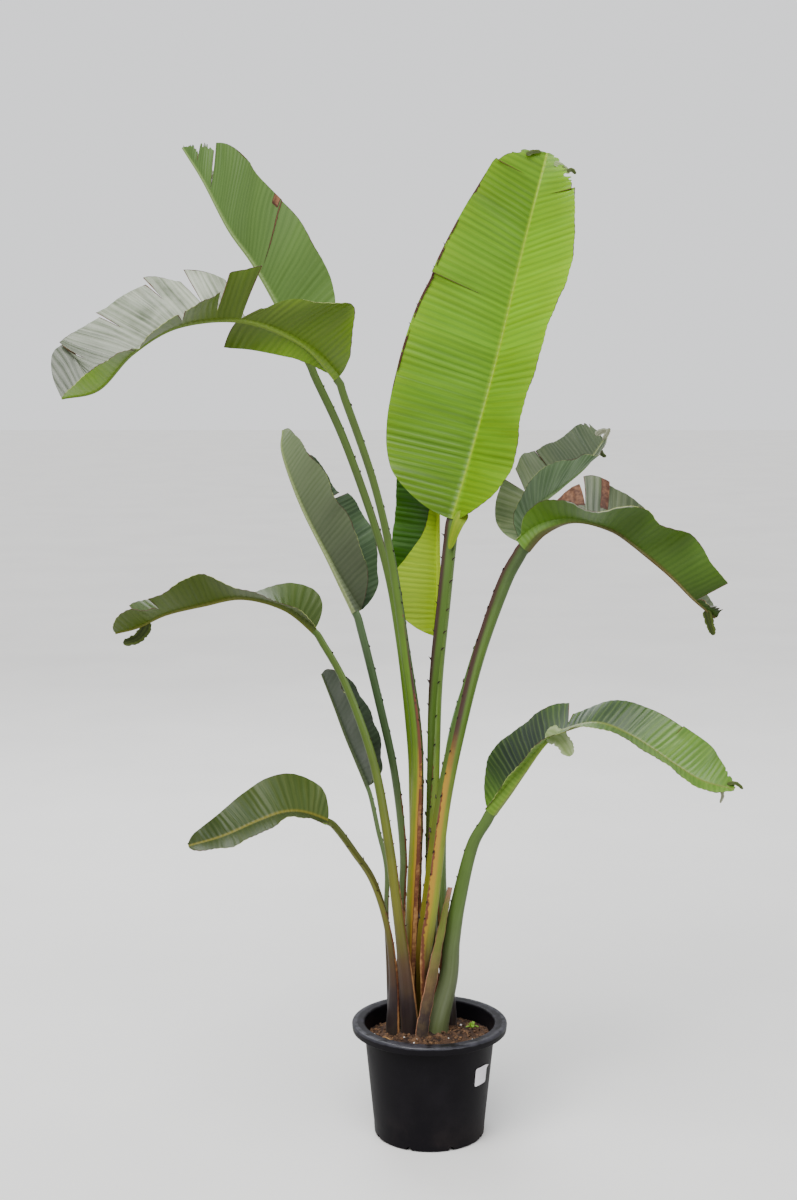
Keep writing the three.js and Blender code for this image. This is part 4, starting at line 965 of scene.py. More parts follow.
def build_blade(leaf):
    line = rib_line(leaf)
    rows = blade_rows(leaf, line.total)
    left, left_n = half_sheet(leaf, line, rows, LEFT)
    right, right_n = half_sheet(leaf, line, rows, RIGHT)
    t = np.array([row[0] for row in rows])[:, None]
    middle = line.at(t)
    points = np.concatenate([left[:, ::-1], middle, right], axis=1)
    n = {}
    for key in left_n:
        centre = {"t": t, "vein": t * line.total, "edge": 99 + 0 * t}.get(key, 0 * t)
        n[key] = np.concatenate([left_n[key][:, ::-1], centre, right_n[key]], axis=1)

    # Rows of a tear share every point that the tear does not part.
    high, wide = n["t"].shape
    index = np.arange(high * wide).reshape(high, wide)
    for i, (_, k, far_lip) in enumerate(rows):
        if far_lip:
            cut = leaf["tears"][k]
            parted = (n["side"][i] == cut["side"]) & (n["out"][i] > cut["root"] + 1e-6)
            index[i] = np.where(parted, index[i], index[i - 1])
    solid = np.array([not row[2] for row in rows[1:]])
    a, b, d, c = index[:-1, :-1], index[:-1, 1:], index[1:, :-1], index[1:, 1:]
    quads = np.stack([a, b, c, d], axis=-1)[solid].reshape(-1, 4)
    used, flat = np.unique(quads, return_inverse=True)
    quads = flat.reshape(-1, 4)
    points = points.reshape(-1, 3)[used]
    n = {key: values.reshape(-1)[used] for key, values in n.items()}

    # Ripple of the veins and a flutter of the margin, along the sheet's own normals.
    def normals(p):
        total = np.zeros_like(p)
        q = p[quads]
        face = np.cross(q[:, 2] - q[:, 0], q[:, 3] - q[:, 1])
        for corner in range(4):
            np.add.at(total, quads[:, corner], face)
        return unit(total + 1e-12)

    ups = normals(points)
    seed = leaf["seed"]
    size = leaf.get("spacing", RIPPLE_SIZE * MM) / MM
    ripple = np.sin(CYCLE * n["vein"] / size + 2 * wobble(n["vein"], seed, 160))
    lift = RIPPLE_DEPTH * ripple * np.clip(n["out"] * 6, 0, 1)
    flutter = wobble(n["vein"] + 60 * n["side"], seed + 1, 130)
    lift = lift + FLUTTER_DEPTH * flutter * n["out"] ** 2 * np.clip(n["t"] * 8, 0, 1)
    points = points + ups * lift[:, None]
    ups = normals(points)

    # Two skins: a filled channel above the midrib and a round keel below it.
    inward = np.where(n["out"] > 0, 0, np.where(n["side"] == 0, 1, 1 - n["share"]))
    radius = along([leaf["wide"][2] * RIB_SHARE_OF_STALK, *RIB_RADIUS], n["t"])
    keel = 1.5 * radius * np.sqrt(np.clip(1 - (1 - inward) ** 2, 0, 1))
    filled = 0.32 * radius * inward
    top = points + ups * (SHEET / 2 + filled)[:, None]
    under = points - ups * (SHEET / 2 + keel)[:, None]
    count = len(points)
    edges = np.concatenate([quads[:, [i, (i + 1) % 4]] for i in range(4)])
    code = edges[:, 0] * count + edges[:, 1]
    rim = edges[~np.isin(code, edges[:, 1] * count + edges[:, 0])]
    walls = np.stack([rim[:, 1], rim[:, 0], rim[:, 0] + count, rim[:, 1] + count], axis=1)
    faces = np.concatenate([quads, quads[:, ::-1] + count, walls])
    choice = [0] * len(quads) + [1] * len(quads) + [2] * len(walls)
    carried = blade_numbers(leaf, n, line.total)
    carried = {key: np.concatenate([v, v]) for key, v in carried.items()}
    name = "leaf_" + leaf["name"]
    spacing = leaf.get("spacing", VEIN_SPACING)
    shared = dict(groove=leaf.get("groove", 0.25), wander=leaf.get("wander", 5.0))
    skins = [
        leaf_skin(name + "_top", *leaf["top"], leaf["gloss"], spacing, VEIN_DEPTH,
                  painted_sheen=leaf["painted_sheen"], **shared),
        leaf_skin(name + "_under", *leaf["under"], leaf["gloss"] + 0.12, spacing, VEIN_DEPTH,
                  contrast=0.7, **shared),
        leaf_edge,
    ]
    make_piece(name + "_blade_skin", np.concatenate([top, under]), faces, skins,
               [name + "_blade"], carried, choice)
    return len(faces)


blade_faces = sum(build_blade(leaf) for leaf in LEAVES)
print("blades:", len(LEAVES), "with", blade_faces, "faces")

# %% [markdown]
# ## Stalks
# A leaf stalk of this plant is a deep channel with a round back. Low down its two
# sides spread into thin wings that clasp the next stalk, and their edges dry to tan
# paper. Higher up the channel closes to a groove, and the stalk runs on into the
# midrib. A bevelled curve would keep one section all the way, only thinner or
# thicker. So the section is drawn once, as a back arc and an inner hollow, and swept
# along the line with a width, a depth and a wing height that change on the way.

# %% Stalk finish
def stalk_skin(name, low, middle, high, inside, deep="#2f4420", foot="#4c301c", toe="#2a1f20"):
    """Back colours from the soil up, then the hollow low down (dry brown) and high up (painted
    shade), and the foot.
    """
    material, tree, shader = new_material(
        name, Specular_IOR_Level=0.45, Coat_Weight=0.1, Coat_Roughness=0.3, Sheen_Weight=0.05
    )
    rise, hollow = measure(tree, "rise"), measure(tree, "hollow")
    strands = use_group(tree, fibres, Around=measure(tree, "around"), Run=rise, Count=26.0)
    cloud = use_group(tree, blotches, Scale=22.0, Low=0.42, High=0.72)
    dry = use_group(tree, dry_rim, Dry=measure(tree, "dry"), Fray=120.0,
                    Young=shade("#6a3820"), Old=shade("#bd8a50"))
    climb = plus(tree, rise, times(tree, sum_of(tree, "SUBTRACT", cloud["Grain"], 0.5), 0.08))
    colour = blend_colour(tree, step_between(tree, climb, 0.04, 0.14), shade(toe), shade(foot))
    colour = blend_colour(tree, step_between(tree, climb, 0.1, 0.26), colour, shade(low))
    colour = blend_colour(tree, step_between(tree, climb, 0.25, 0.6), colour, shade(middle))
    colour = blend_colour(tree, step_between(tree, climb, 0.6, 1.0), colour, shade(high))
    streak = times(tree, strands["Streak"], 0.35)
    colour = blend_colour(tree, streak, colour, shade("#7f8a3a"), "SOFT_LIGHT")
    speck = times(tree, cloud["Mask"], 0.18)
    colour = blend_colour(tree, speck, colour, shade("#3b3a1c"))
    # The channel's inside: its own dry brown low down, painted shade in a deeper green higher up.
    channel = blend_colour(tree, step_between(tree, climb, 0.12, 0.5), shade(inside), shade(deep))
    colour = blend_colour(tree, times(tree, hollow, 0.6), colour, channel)
    band = blend_colour(tree, step_between(tree, climb, 0.08, 0.2), shade("#5a3320"),
                        shade("#ac841e"))
    band = blend_colour(tree, step_between(tree, climb, 0.46, 0.58), band, shade("#3f261b"))
    colour = blend_colour(tree, step_between(tree, measure(tree, "band"), 0.3, 0.6), colour, band)
    colour = blend_colour(tree, dry["Mask"], colour, dry["Colour"])
    rough = plus(tree, times(tree, cloud["Grain"], 0.3), 0.25)
    rough = plus(tree, rough, times(tree, dry["Mask"], 0.3), clamp=True)
    wire_skin(tree, shader, colour, strands["Height"], 0.0005, rough)
    return material

# %% Section and sweep
SOIL_TOP = 185
STALK_CLEAR = 192
STALK_FOOT = 150
UPRIGHT = np.array((0, 0, 1.0))
BACK_POINTS = 15
HOLLOW_POINTS = 12
STALK_STEPS = 90


def stalk_section(width, depth, channel, wing):
    """Across and up of one section, back first and then the hollow."""
    half = width / 2
    a = np.pi + np.linspace(0, np.pi, BACK_POINTS)
    back = np.stack([half * np.cos(a), 0.75 * depth * np.sin(a)], axis=1)
    lip = 0.12 * depth + wing
    tip_x = half * 0.97 - wing * 0.22
    b = np.linspace(0, np.pi, HOLLOW_POINTS)
    inner_x = (tip_x - 0.9) * np.cos(b)
    inner_y = lip - (lip + channel) * np.sin(b) ** 0.8
    right_lip = [[half, wing * 0.45], [tip_x, lip]]
    left_lip = [[-tip_x, lip], [-half, wing * 0.45]]
    return np.concatenate([back, right_lip, np.stack([inner_x, inner_y], axis=1), left_lip])


SECTION_COUNT = BACK_POINTS + HOLLOW_POINTS + 4
SECTION_HOLLOW = np.array([0] * BACK_POINTS + [0, 0.6] + [1] * HOLLOW_POINTS + [0.6, 0])
SECTION_LIP = np.array([0] * (BACK_POINTS - 1) + [0.15, 0.5, 1, 1, 0.3] +
                       [0] * (HOLLOW_POINTS - 4) + [0, 0.3, 1, 1, 0.5])[:SECTION_COUNT]


def band_weights(side, reach):
    """A share for each point of the section: 1 at one lip, less on both sides of it."""
    weights = np.zeros(SECTION_COUNT)
    lip = BACK_POINTS + 1 if side > 0 else SECTION_COUNT - 2
    for k in range(-reach, reach + 1):
        weights[(lip + k) % SECTION_COUNT] = 1 - abs(k) / (reach + 1.5)
    return weights


STALK_LIPS = {}


def build_stalk(leaf, skin):
    foot = np.array(leaf["stalk"][0], float)
    start = foot + (0, 0, STALK_CLEAR)
    points = [start, *leaf["stalk"][1:], leaf["rib"][0]]
    line = Line(points, start - (0, 0, 60), leaf["rib"][1])
    base = np.array(leaf["open"], float)
    first_up, first_across = side_frame(UPRIGHT, base)
    w0, w1, w2 = leaf["wide"]
    seed = leaf["seed"]
    rings, rise, lips = [], [], []
    steps = np.linspace(0, 1, STALK_STEPS + 1)
    shares = np.concatenate([[-1], steps])
    for t in shares:
        s = max(t, 0)
        turned = min(1, 1.1 * s)
        hint = base * (1 - turned) + np.array(leaf["face"][0]) * turned
        way = line.way(np.array(s)) if s > 0 else UPRIGHT
        up, across = side_frame(way, hint)
        middle = line.at(np.array(s))
        if t < 0:
            up, across, middle = first_up, first_across, foot + (0, 0, STALK_FOOT)
        width = value_at([w0, w1, (w1 + w2) / 2, w2 + 1, w2], s)
        depth = width * value_at([0.55, 0.62, 0.75, 0.85, 0.9], s)
        channel = depth * value_at([0.2, 0.42, 0.28, 0.12, -0.05], s)
        ragged = 1 + 0.07 * wobble(s * line.total, seed, 60)
        wing = width * value_at([0.2, 0.24, 0.1, 0.02, 0], s) * ragged
        section = stalk_section(width, depth, channel, max(wing, 0))
        rings.append(middle + section[:, :1] * across + section[:, 1:] * up)
        rise.append(np.full(SECTION_COUNT, middle[2] - SOIL_TOP))
        drying = value_at([1.3, 1, 0.75, 0.5, 0.3, 0], s)
        drying *= 0.9 + 0.2 * wobble(s * line.total, seed + 2, 240)
        lips.append(SECTION_LIP * drying)
    STALK_LIPS[leaf["name"]] = np.array(rings)[1:][:, [BACK_POINTS + 1, SECTION_COUNT - 2]]
    points = np.concatenate(rings)
    faces = sleeve_faces(len(rings), SECTION_COUNT)
    around = np.tile(np.linspace(0, 1, SECTION_COUNT), len(rings))
    numbers = dict(
        rise=np.concatenate(rise) * MM, around=around, dry=np.clip(np.concatenate(lips), 0, 1),
        hollow=np.tile(SECTION_HOLLOW, len(rings)),
    )
    side, reach, amounts = leaf.get("band", (1, 0, (0, 0)))
    amounts = along(amounts, np.clip(shares, 0, 1))
    numbers["band"] = (amounts[:, None] * band_weights(side, reach)[None, :]).ravel()
    name = "leaf_" + leaf["name"] + "_stalk"
    make_piece(name + "_skin", points, faces, [skin], [name], numbers, sharp=70)


fresh_stalk = stalk_skin("stalk_fresh", "#8a8a18", "#5a7c18", "#4f6628", "#5d4a17")
bright_stalk = stalk_skin("stalk_bright", "#87981d", "#6a8a2c", "#65803a", "#6a6a22", "#4c6a2c")
deep_stalk = stalk_skin("stalk_deep", "#8f9a1c", "#5c7c24", "#374d24", "#8a7420", "#3f5a26")
olive_stalk = stalk_skin("stalk_olive", "#6e6e18", "#526c1c", "#4c6826", "#553f17")
grey_stalk = stalk_skin("stalk_grey", "#5d703f", "#4e6740", "#4a6242", "#4a4626")
pale_stalk = stalk_skin("stalk_pale", "#6f8a4c", "#67885c", "#7a9a62", "#5a5a34")
green_stalk = stalk_skin("stalk_green", "#55702c", "#456222", "#485a20", "#5d4a17",
                         foot="#5c6a40", toe="#58623f")
STALK_SKINS = dict(a=fresh_stalk, b=fresh_stalk, c=bright_stalk, d=pale_stalk, e=grey_stalk,
                   f=olive_stalk, g=grey_stalk, h=olive_stalk, i=deep_stalk, j=pale_stalk,
                   k=green_stalk)
for leaf in LEAVES:
    build_stalk(leaf, STALK_SKINS[leaf["name"]])
print("stalks:", len(LEAVES), "each of", (STALK_STEPS + 2) * SECTION_COUNT, "points")

# %% [markdown]
# ## The dry sheath
# In front stands what is left of a lost leaf: a brown strip, bowed like a gutter and
# curling at its edges. A cloth simulation could curl it, but a few numbers are easier
# to adjust. So it is swept the same way as a stalk, but thin all over.

# %% Sheath
SHEATH_LINE = [(-14, -20, 192), (-4, -19, 250), (15, -13, 350), (36, -4, 455)]
SHEATH_WIDE = [24, 22, 16, 9]
SHEATH_THICK = 1.3
SHEATH_ROOT = 40
SHEATH_STEPS = 60
SHEATH_ACROSS = np.linspace(-1, 1, 13)


def sheath_skin():
    material, tree, shader = new_material("dry_sheath", Sheen_Weight=0.1)
    strands = use_group(tree, fibres, Around=measure(tree, "around"), Run=measure(tree, "rise"),
                        Count=18.0)
    cloud = use_group(tree, blotches, Scale=38.0, Low=0.4, High=0.62)
    edge = use_group(tree, dry_rim, Dry=measure(tree, "dry"), Fray=150.0,
                     Young=shade("#8a5a3c"), Old=shade("#c99a74"))
    colour = shade("#291b1d")
    for low, high, above in ((0.02, 0.11, "#5a4020"), (0.08, 0.2, "#66741c"),
                             (0.235, 0.265, "#a8705e")):
        climb = step_between(tree, measure(tree, "rise"), low, high)
        colour = blend_colour(tree, climb, colour, shade(above))
    colour = blend_colour(tree, times(tree, strands["Streak"], 0.3), colour,
                          shade("#4c3a20"))
    colour = blend_colour(tree, times(tree, cloud["Mask"], 0.2), colour, shade("#8f7a48"))
    colour = blend_colour(tree, edge["Mask"], colour, edge["Colour"])
    wire_skin(tree, shader, colour, strands["Height"], 0.0012,
              plus(tree, times(tree, cloud["Grain"], 0.3), 0.55, clamp=True))
    return material


def build_sheath():
    path = [np.array(p, float) for p in SHEATH_LINE]
    line = Line(path, path[0] - (0, 0, 60), 2 * path[-1] - path[-2])
    open_way = unit(np.array((-0.2, 1, 0)))
    count = 2 * len(SHEATH_ACROSS)
    rings, rise, dry = [], [], []
    for t in np.concatenate([[-1], np.linspace(0, 1, SHEATH_STEPS)]):
        s = max(t, 0)
        up, across = side_frame(line.way(np.array(s)), open_way)
        middle = line.at(np.array(s)) - (0, 0, SHEATH_ROOT * (t < 0))
        width = value_at(SHEATH_WIDE, s)
        width *= 1 - 0.08 * (1 + wobble(s * line.total, 4, 40)) * (s > 0.1)
        ring = []
        for thick, order in ((SHEATH_THICK, 1), (0, -1)):
            for k in SHEATH_ACROSS[::order]:
                bow = width * (0.18 * (1 - k * k) + 0.05 * k ** 4 * math.sin(s * 21 + k))
                ring.append(middle + across * (width / 2 * k) - up * (bow + thick))
        rings.append(ring)
        rise.append([middle[2] - SOIL_TOP] * count)
        dry.append([abs(k) ** 6 * 0.9 for k in SHEATH_ACROSS] * 2)
    around = np.tile(np.concatenate([(SHEATH_ACROSS + 1) / 2] * 2), len(rings))
    numbers = dict(rise=np.array(rise).ravel() * MM, dry=np.array(dry).ravel(), around=around)
    make_piece("old_sheath_skin", np.array(rings).reshape(-1, 3),
               sleeve_faces(len(rings), count), [sheath_skin()], ["old_sheath"],
               numbers, sharp=60)


build_sheath()
print("sheath strip made")

# %% [markdown]
# ## Pot
# A nursery pot is moulded from black recycled plastic: a tapered wall, a broad rolled
# rim to carry it by, and notches at the foot that let water out. Plain cones would
# leave out the rolled rim, so a turned profile gives the body, and small cutters take
# out the drain holes and the foot notches.

# %% Pot finish
def pot_skin():
    material, tree, shader = new_material("pot_plastic", Specular_IOR_Level=0.14,
                                          Coat_Roughness=0.25)
    cloud = use_group(tree, blotches, Scale=14.0, Low=0.4, High=0.75)
    grain = use_group(tree, blotches, Scale=420.0, Low=0.4, High=0.6)
    lies = use_group(tree, dust, Amount=0.75, Scale=70.0)
    # A painted highlight: the top of the rolled rim is lightened to a bluish grey, and the coat
    # follows it; the lowest edge of the foot is lightened too.
    edge_mark = use_group(tree, dry_rim, Dry=measure(tree, "edge_mark"), Fray=70.0,
                     Young=shade("#2c2c34"), Old=shade("#4d4e5c"))
    colour = blend_colour(tree, cloud["Mask"], shade("#110f13"), shade("#18161a"))
    colour = blend_colour(tree, times(tree, edge_mark["Mask"], 0.8), colour, edge_mark["Colour"])
    colour = blend_colour(tree, times(tree, lies["Mask"], 0.6), colour, shade("#504e56"))
    splash = times(tree, measure(tree, "low"), cloud["Mask"])
    colour = blend_colour(tree, times(tree, splash, 0.3), colour, shade("#382e28"))
    rough = plus(tree, times(tree, cloud["Grain"], 0.3), 0.26)
    rough = plus(tree, rough, times(tree, lies["Mask"], 0.3), clamp=True)
    tree.links.new(times(tree, edge_mark["Mask"], 0.5), shader.inputs["Coat Weight"])
    relief = plus(tree, times(tree, grain["Grain"], 0.3), cloud["Grain"])
    wire_skin(tree, shader, colour, relief, 0.0004, rough)
    return material

# %% Pot body
POT_SIDES = 160
WALL_TOP_R = 118.5
WALL_THICK = 2.2
BASE_R = 100
FOOT_TOP, WALL_HIGH = 20, 178


def wall_r(z):
    """Outer radius of the tapered wall at a height."""
    return BASE_R + 0.5 + (WALL_TOP_R - BASE_R - 0.5) * (z - FOOT_TOP) / WALL_HIGH


def arc(r, z, radius, start, end, count=6):
    """Points of a round stretch of the profile, angles in degrees."""
    turn = np.radians(np.linspace(start, end, count))
    return [(r + radius * math.cos(a), z + radius * math.sin(a)) for a in turn]


POT_PROFILE = (
    [(0, 0), (92, 0)] + arc(95.5, 4, 4, -90, 0) + [(100.2, 12)]
    + [(wall_r(z), z) for z in (FOOT_TOP, 60, 120, 160, 190)]
    + [(WALL_TOP_R + 0.3, 197), (122, 200), (130, 200.6), (134.4, 200)]
    + [(135.6, 197), (136, 193.2)] + arc(137.4, 193.4, 1.4, 180, 330, 5)
    + [(139.4, 197)] + arc(135.6, 202.6, 4.4, 0, 90, 8) + [(131, 207), (126, 206.8)]
    + arc(120.5, 203.2, 3.4, 80, 176, 5) + [(116.6, 197)]
    + [(wall_r(z) - WALL_THICK, z) for z in (120, FOOT_TOP)]
    + arc(91, 8, 5, -10, -90, 5) + [(0, 3)]
)


def from_bmesh(name, body):
    mesh = bpy.data.meshes.new(name)
    body.to_mesh(mesh)
    body.free()
    return stand_in_scene(name, mesh)


def build_pot():
    profile = np.array(POT_PROFILE)
    turn = np.linspace(0, 2 * np.pi, POT_SIDES, endpoint=False)
    body = bmesh.new()
    rings = []
    for r, z in profile[1:-1]:
        ring = [(r * math.cos(a) * MM, r * math.sin(a) * MM, z * MM) for a in turn]
        rings.append([body.verts.new(point) for point in ring])
    for low, high in zip(rings, rings[1:]):
        for j in range(POT_SIDES):
            k = (j + 1) % POT_SIDES
            body.faces.new((low[j], low[k], high[k], high[j]))
    for ring, z, flip in ((rings[0], profile[0, 1], True), (rings[-1], profile[-1, 1], False)):
        centre = body.verts.new((0, 0, z * MM))
        for j in range(POT_SIDES):
            pair = (ring[j], ring[(j + 1) % POT_SIDES])
            body.faces.new((centre, *(pair[::-1] if flip else pair)))
    return from_bmesh("pot_skin", body)


DRAINS = 8
DRAIN_HOLE = (6, 12, (66, 0, 1), 0)
FOOT_SLOT = (5, 22, (95, 0, 2), 90)


def drain_cutter():
    """Upright drain holes and slots across the foot, as one cutter.

    Both are given as radius, length, middle and tilt in degrees.
    """
    cutter = bmesh.new()
    for i in range(DRAINS):
        for (radius, length, middle, tip), turn in ((DRAIN_HOLE, i / DRAINS),
                                                    (FOOT_SLOT, (i + 0.5) / DRAINS)):
            made = bmesh.ops.create_cone(cutter, segments=24, radius1=radius * MM,
                                         radius2=radius * MM, depth=length * MM, cap_ends=True)
            place = (Matrix.Rotation(2 * math.pi * turn, 4, "Z")
                     @ Matrix.Translation(Vector(middle) * MM)
                     @ Matrix.Rotation(math.radians(tip), 4, "Y"))
            bmesh.ops.transform(cutter, matrix=place, verts=made["verts"])
    return from_bmesh("drain_cutter", cutter)


def finish_pot():
    pot, cutter = build_pot(), drain_cutter()
    cut = pot.modifiers.new("drains", "BOOLEAN")
    cut.operation = "DIFFERENCE"
    cut.solver = "EXACT"
    cut.object = cutter
    view = bpy.context.evaluated_depsgraph_get()
    shape = bpy.data.meshes.new_from_object(pot.evaluated_get(view))
    pot.modifiers.clear()
    pot.data = shape
    bpy.data.objects.remove(cutter)
    co = np.array([v.co for v in shape.vertices]) / MM
    radius = np.hypot(co[:, 0], co[:, 1])
    # Painted highlight along the top of the rim, and a lighter band on the lowest 8 mm.
    edge_mark = np.clip(1 - np.abs(co[:, 2] - 205) / 8, 0, 1) * (radius > 128) * 0.8
    edge_mark = np.maximum(edge_mark, np.clip(1 - co[:, 2] / 8, 0, 1) * 0.5)
    carry(shape, dict(edge_mark=edge_mark, low=np.clip(1 - co[:, 2] / 70, 0, 1)))
    shape.materials.clear()
    shape.materials.append(pot_skin())
    shape.shade_smooth()
    shape.set_sharp_from_angle(angle=math.radians(35))
    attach(pot, "root")
    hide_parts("pot")
    return len(shape.polygons)


print("pot faces:", finish_pot())

# %% [markdown]
# ## Soil
# Potting soil is crumbs of bark and peat. A flat disc with a bumpy finish would show
# a straight edge at the wall. So the disc itself is bumpy, with the big lumps as
# noise at three sizes, and a few hundred loose crumbs lie on it. The crumbs are small
# squashed balls, joined in one mesh, and each carries its own shade of brown.

# %% Soil finish
def earth_skin(name, dark, light, scale):
    material, tree, shader = new_material(name, Specular_IOR_Level=0.3)
    cloud = use_group(tree, blotches, Scale=scale, Low=0.35, High=0.68)
    fine = use_group(tree, blotches, Scale=scale * 7, Low=0.55, High=0.7)
    colour = blend_colour(tree, cloud["Mask"], shade(dark), shade(light))
    colour = blend_colour(tree, times(tree, measure(tree, "pale"), 0.9), colour,
                          shade("#8b6849"))
    colour = blend_colour(tree, times(tree, fine["Mask"], 0.4), colour, shade("#6f5138"))
    wire_skin(tree, shader, colour, plus(tree, cloud["Grain"], fine["Grain"]), 0.002,
              plus(tree, times(tree, cloud["Grain"], 0.2), 0.78, clamp=True))
    return material


soil_finish = earth_skin("soil", "#2b201c", "#4f3a2c", 60.0)

# %% Soil body
SOIL_LEVEL = 178
SOIL_SECTORS = 180
SOIL_GAP = 0.9
SOIL_R = wall_r(SOIL_LEVEL) - WALL_THICK - SOIL_GAP
CLODS = ((4.0, 0.07), (2.4, 0.19), (1.3, 0.5))


def soil_height(x, y):
    """Top of the soil at a place, heaped a little round the clump."""
    r = math.hypot(x, y)
    heap = 9 * math.exp(-((r / 70) ** 2)) - 2
    lump = 2.2 * math.sin(x * 0.11 + 1) * math.cos(y * 0.09) + 1.4 * math.sin(x * 0.05 - y * 0.13)
    clod = sum(a * noise.noise(Vector((x * k, y * k, a))) for a, k in CLODS)
    return SOIL_LEVEL + heap + lump + clod


def build_soil():
    points = []
    rings = [(BASE_R - 12, 3.6), (BASE_R - 5, 8),
             (wall_r(FOOT_TOP) - WALL_THICK - SOIL_GAP, FOOT_TOP), (SOIL_R, SOIL_LEVEL - 6)]
    turn = np.linspace(0, 2 * np.pi, SOIL_SECTORS, endpoint=False)
    for r, z in rings:
        points += [(r * math.cos(a), r * math.sin(a), z) for a in turn]
    tops = np.linspace(SOIL_R, 2, 62)
    for r in tops:
        for a in turn:
            x, y = r * math.cos(a), r * math.sin(a)
            points.append((x, y, soil_height(x, y)))
    count = len(rings) + len(tops)
    faces = skin_faces(count, SOIL_SECTORS)
    faces.append(list(range(SOIL_SECTORS))[::-1])
    last = (count - 1) * SOIL_SECTORS
    faces.append([last + i for i in range(SOIL_SECTORS)])
    pale = [max(0, noise.noise(Vector(p) * 0.09)) for p in points]
    make_piece("soil_skin", points, faces, [soil_finish], ["soil"], dict(pale=pale),
               sharp=80)


build_soil()
print("soil radius", round(SOIL_R, 1), "mm")

# %% Loose crumbs, grit and straw
DICE = np.random.default_rng(7)


def lump_ball(radius, squash, roughness, seed):
    """A small irregular ball: points and faces round the origin."""
    ball = bmesh.new()
    bmesh.ops.create_icosphere(ball, subdivisions=2, radius=1.0)
    points = []
    for v in ball.verts:
        push = 1 + roughness * noise.noise(v.co * 1.7 + Vector((seed, 0, 0)))
        points.append(np.array(v.co) * radius * push * (1, 1, squash))
    faces = [[v.index for v in f.verts] for f in ball.faces]
    ball.free()
    return np.array(points), faces


def free_spot():
    """A place on the soil, spread evenly but kept out of the very middle."""
    r = SOIL_R * math.sqrt(DICE.uniform(0.03, 0.93))
    a = DICE.uniform(0, 2 * math.pi)
    return r * math.cos(a), r * math.sin(a)


def scatter(name, count, sizes, squash, roughness, material):
    points, faces, pale = [], [], []
    total = 0
    for i in range(count):
        x, y = free_spot()
        size = DICE.uniform(*sizes)
        ball, sides = lump_ball(size, squash, roughness, i * 3.1)
        turn = DICE.uniform(0, math.pi)
        stretch = DICE.uniform(0.6, 1.5)
        ball = ball * (stretch, 1, 1)
        c, s = math.cos(turn), math.sin(turn)
        ball = ball @ np.array([[c, s, 0], [-s, c, 0], [0, 0, 1]])
        points.append(ball + (x, y, soil_height(x, y) + size * squash * 0.35))
        faces += [[v + total for v in f] for f in sides]
        pale += [DICE.uniform(0, 1) ** 2] * len(ball)
        total += len(ball)
    return make_piece(name, np.concatenate(points), faces, [material], (),
                      dict(pale=pale), sharp=80)


def grit_skin():
    material, tree, shader = new_material("grit", Specular_IOR_Level=0.4)
    cloud = use_group(tree, blotches, Scale=300.0, Low=0.35, High=0.7)
    colour = blend_colour(tree, cloud["Mask"], shade("#d9d4cc"), shade("#f2efe9"))
    wire_skin(tree, shader, colour, cloud["Grain"], 0.0006,
              plus(tree, cloud["Grain"], 0.2, clamp=True))
    return material


bark = earth_skin("bark_crumbs", "#33251e", "#664a35", 110.0)
crumbs = scatter("soil_crumbs", 620, (1.2, 3.6), 0.6, 0.9, bark)
grit = scatter("soil_grit", 26, (1.0, 2.4), 0.8, 0.5, grit_skin())
print("crumb faces:", len(crumbs.data.polygons), "grit faces:", len(grit.data.polygons))

# %% [markdown]
# ## Small things on the soil
# Bits of straw lie round the clump, and right of it a tiny weed has come up. A flat
# card would vanish from the side, so each straw and seed leaf is a thin closed strip.

# %% Straw and weed
STRIP_STEPS = 24


def strip(points, width, thick, name, material, hint=(0.2, 0.1, 1.0), frayed=0.0,
          taper=0.0):
    """A thin strip along points, closed on all sides. Its upper side looks to the hint."""
    path = np.array(points, float)
    line = Line(path, 2 * path[0] - path[1], 2 * path[-1] - path[-2])
    rings = []
    for t in np.linspace(0, 1, STRIP_STEPS):
        up, across = side_frame(line.way(np.array(t)), np.array(hint))
        half = width / 2 * math.sqrt(max(0.06, 1 - (2 * t - 1) ** 6)) * (1 - taper * t)
        here = line.at(np.array(t))
        left, right = 1 - frayed * DICE.uniform(0, 1, 2)
        corners = ((-left, 0), (0, -0.4), (right, 0), (right, 1), (0, 0.6), (-left, 1))
        for k, h in corners:
            rings.append(here + across * half * k + up * thick * h)
    count = len(corners)
    run = np.repeat(np.linspace(0, 0.05, STRIP_STEPS), count)
    numbers = dict(rise=run, around=np.tile(np.linspace(0, 1, count), STRIP_STEPS))
    make_piece(name, rings, sleeve_faces(STRIP_STEPS, count), [material], (), numbers)


def plain_skin(name, dark, light, count):
    material, tree, shader = new_material(name, Specular_IOR_Level=0.35)
    strands = use_group(tree, fibres, Around=measure(tree, "around"), Run=measure(tree, "rise"),
                        Count=count)
    cloud = use_group(tree, blotches, Scale=160.0, Low=0.4, High=0.65)
    colour = blend_colour(tree, strands["Streak"], shade(dark), shade(light))
    colour = blend_colour(tree, times(tree, cloud["Mask"], 0.3), colour, shade(dark))
    wire_skin(tree, shader, colour, strands["Height"], 0.0004,
              plus(tree, cloud["Grain"], 0.15, clamp=True))
    return material


straw_finish = plain_skin("straw", "#85643c", "#d0a468", 6.0)
STRAWS = [
    [(-66, 12), (-76, 40), (-80, 70)],
    [(-92, -20), (-80, -30), (-66, -44)],
    [(60, -40), (74, -46), (92, -42)],
    [(-70, -62), (-52, -66), (-38, -76)],
]
for i, route in enumerate(STRAWS):
    lifted = [(x, y, soil_height(x, y) + 2.4 + 1.5 * (j == 1)) for j, (x, y) in enumerate(route)]
    strip(lifted, 3.2, 0.9, f"straw_{i + 1}", straw_finish)

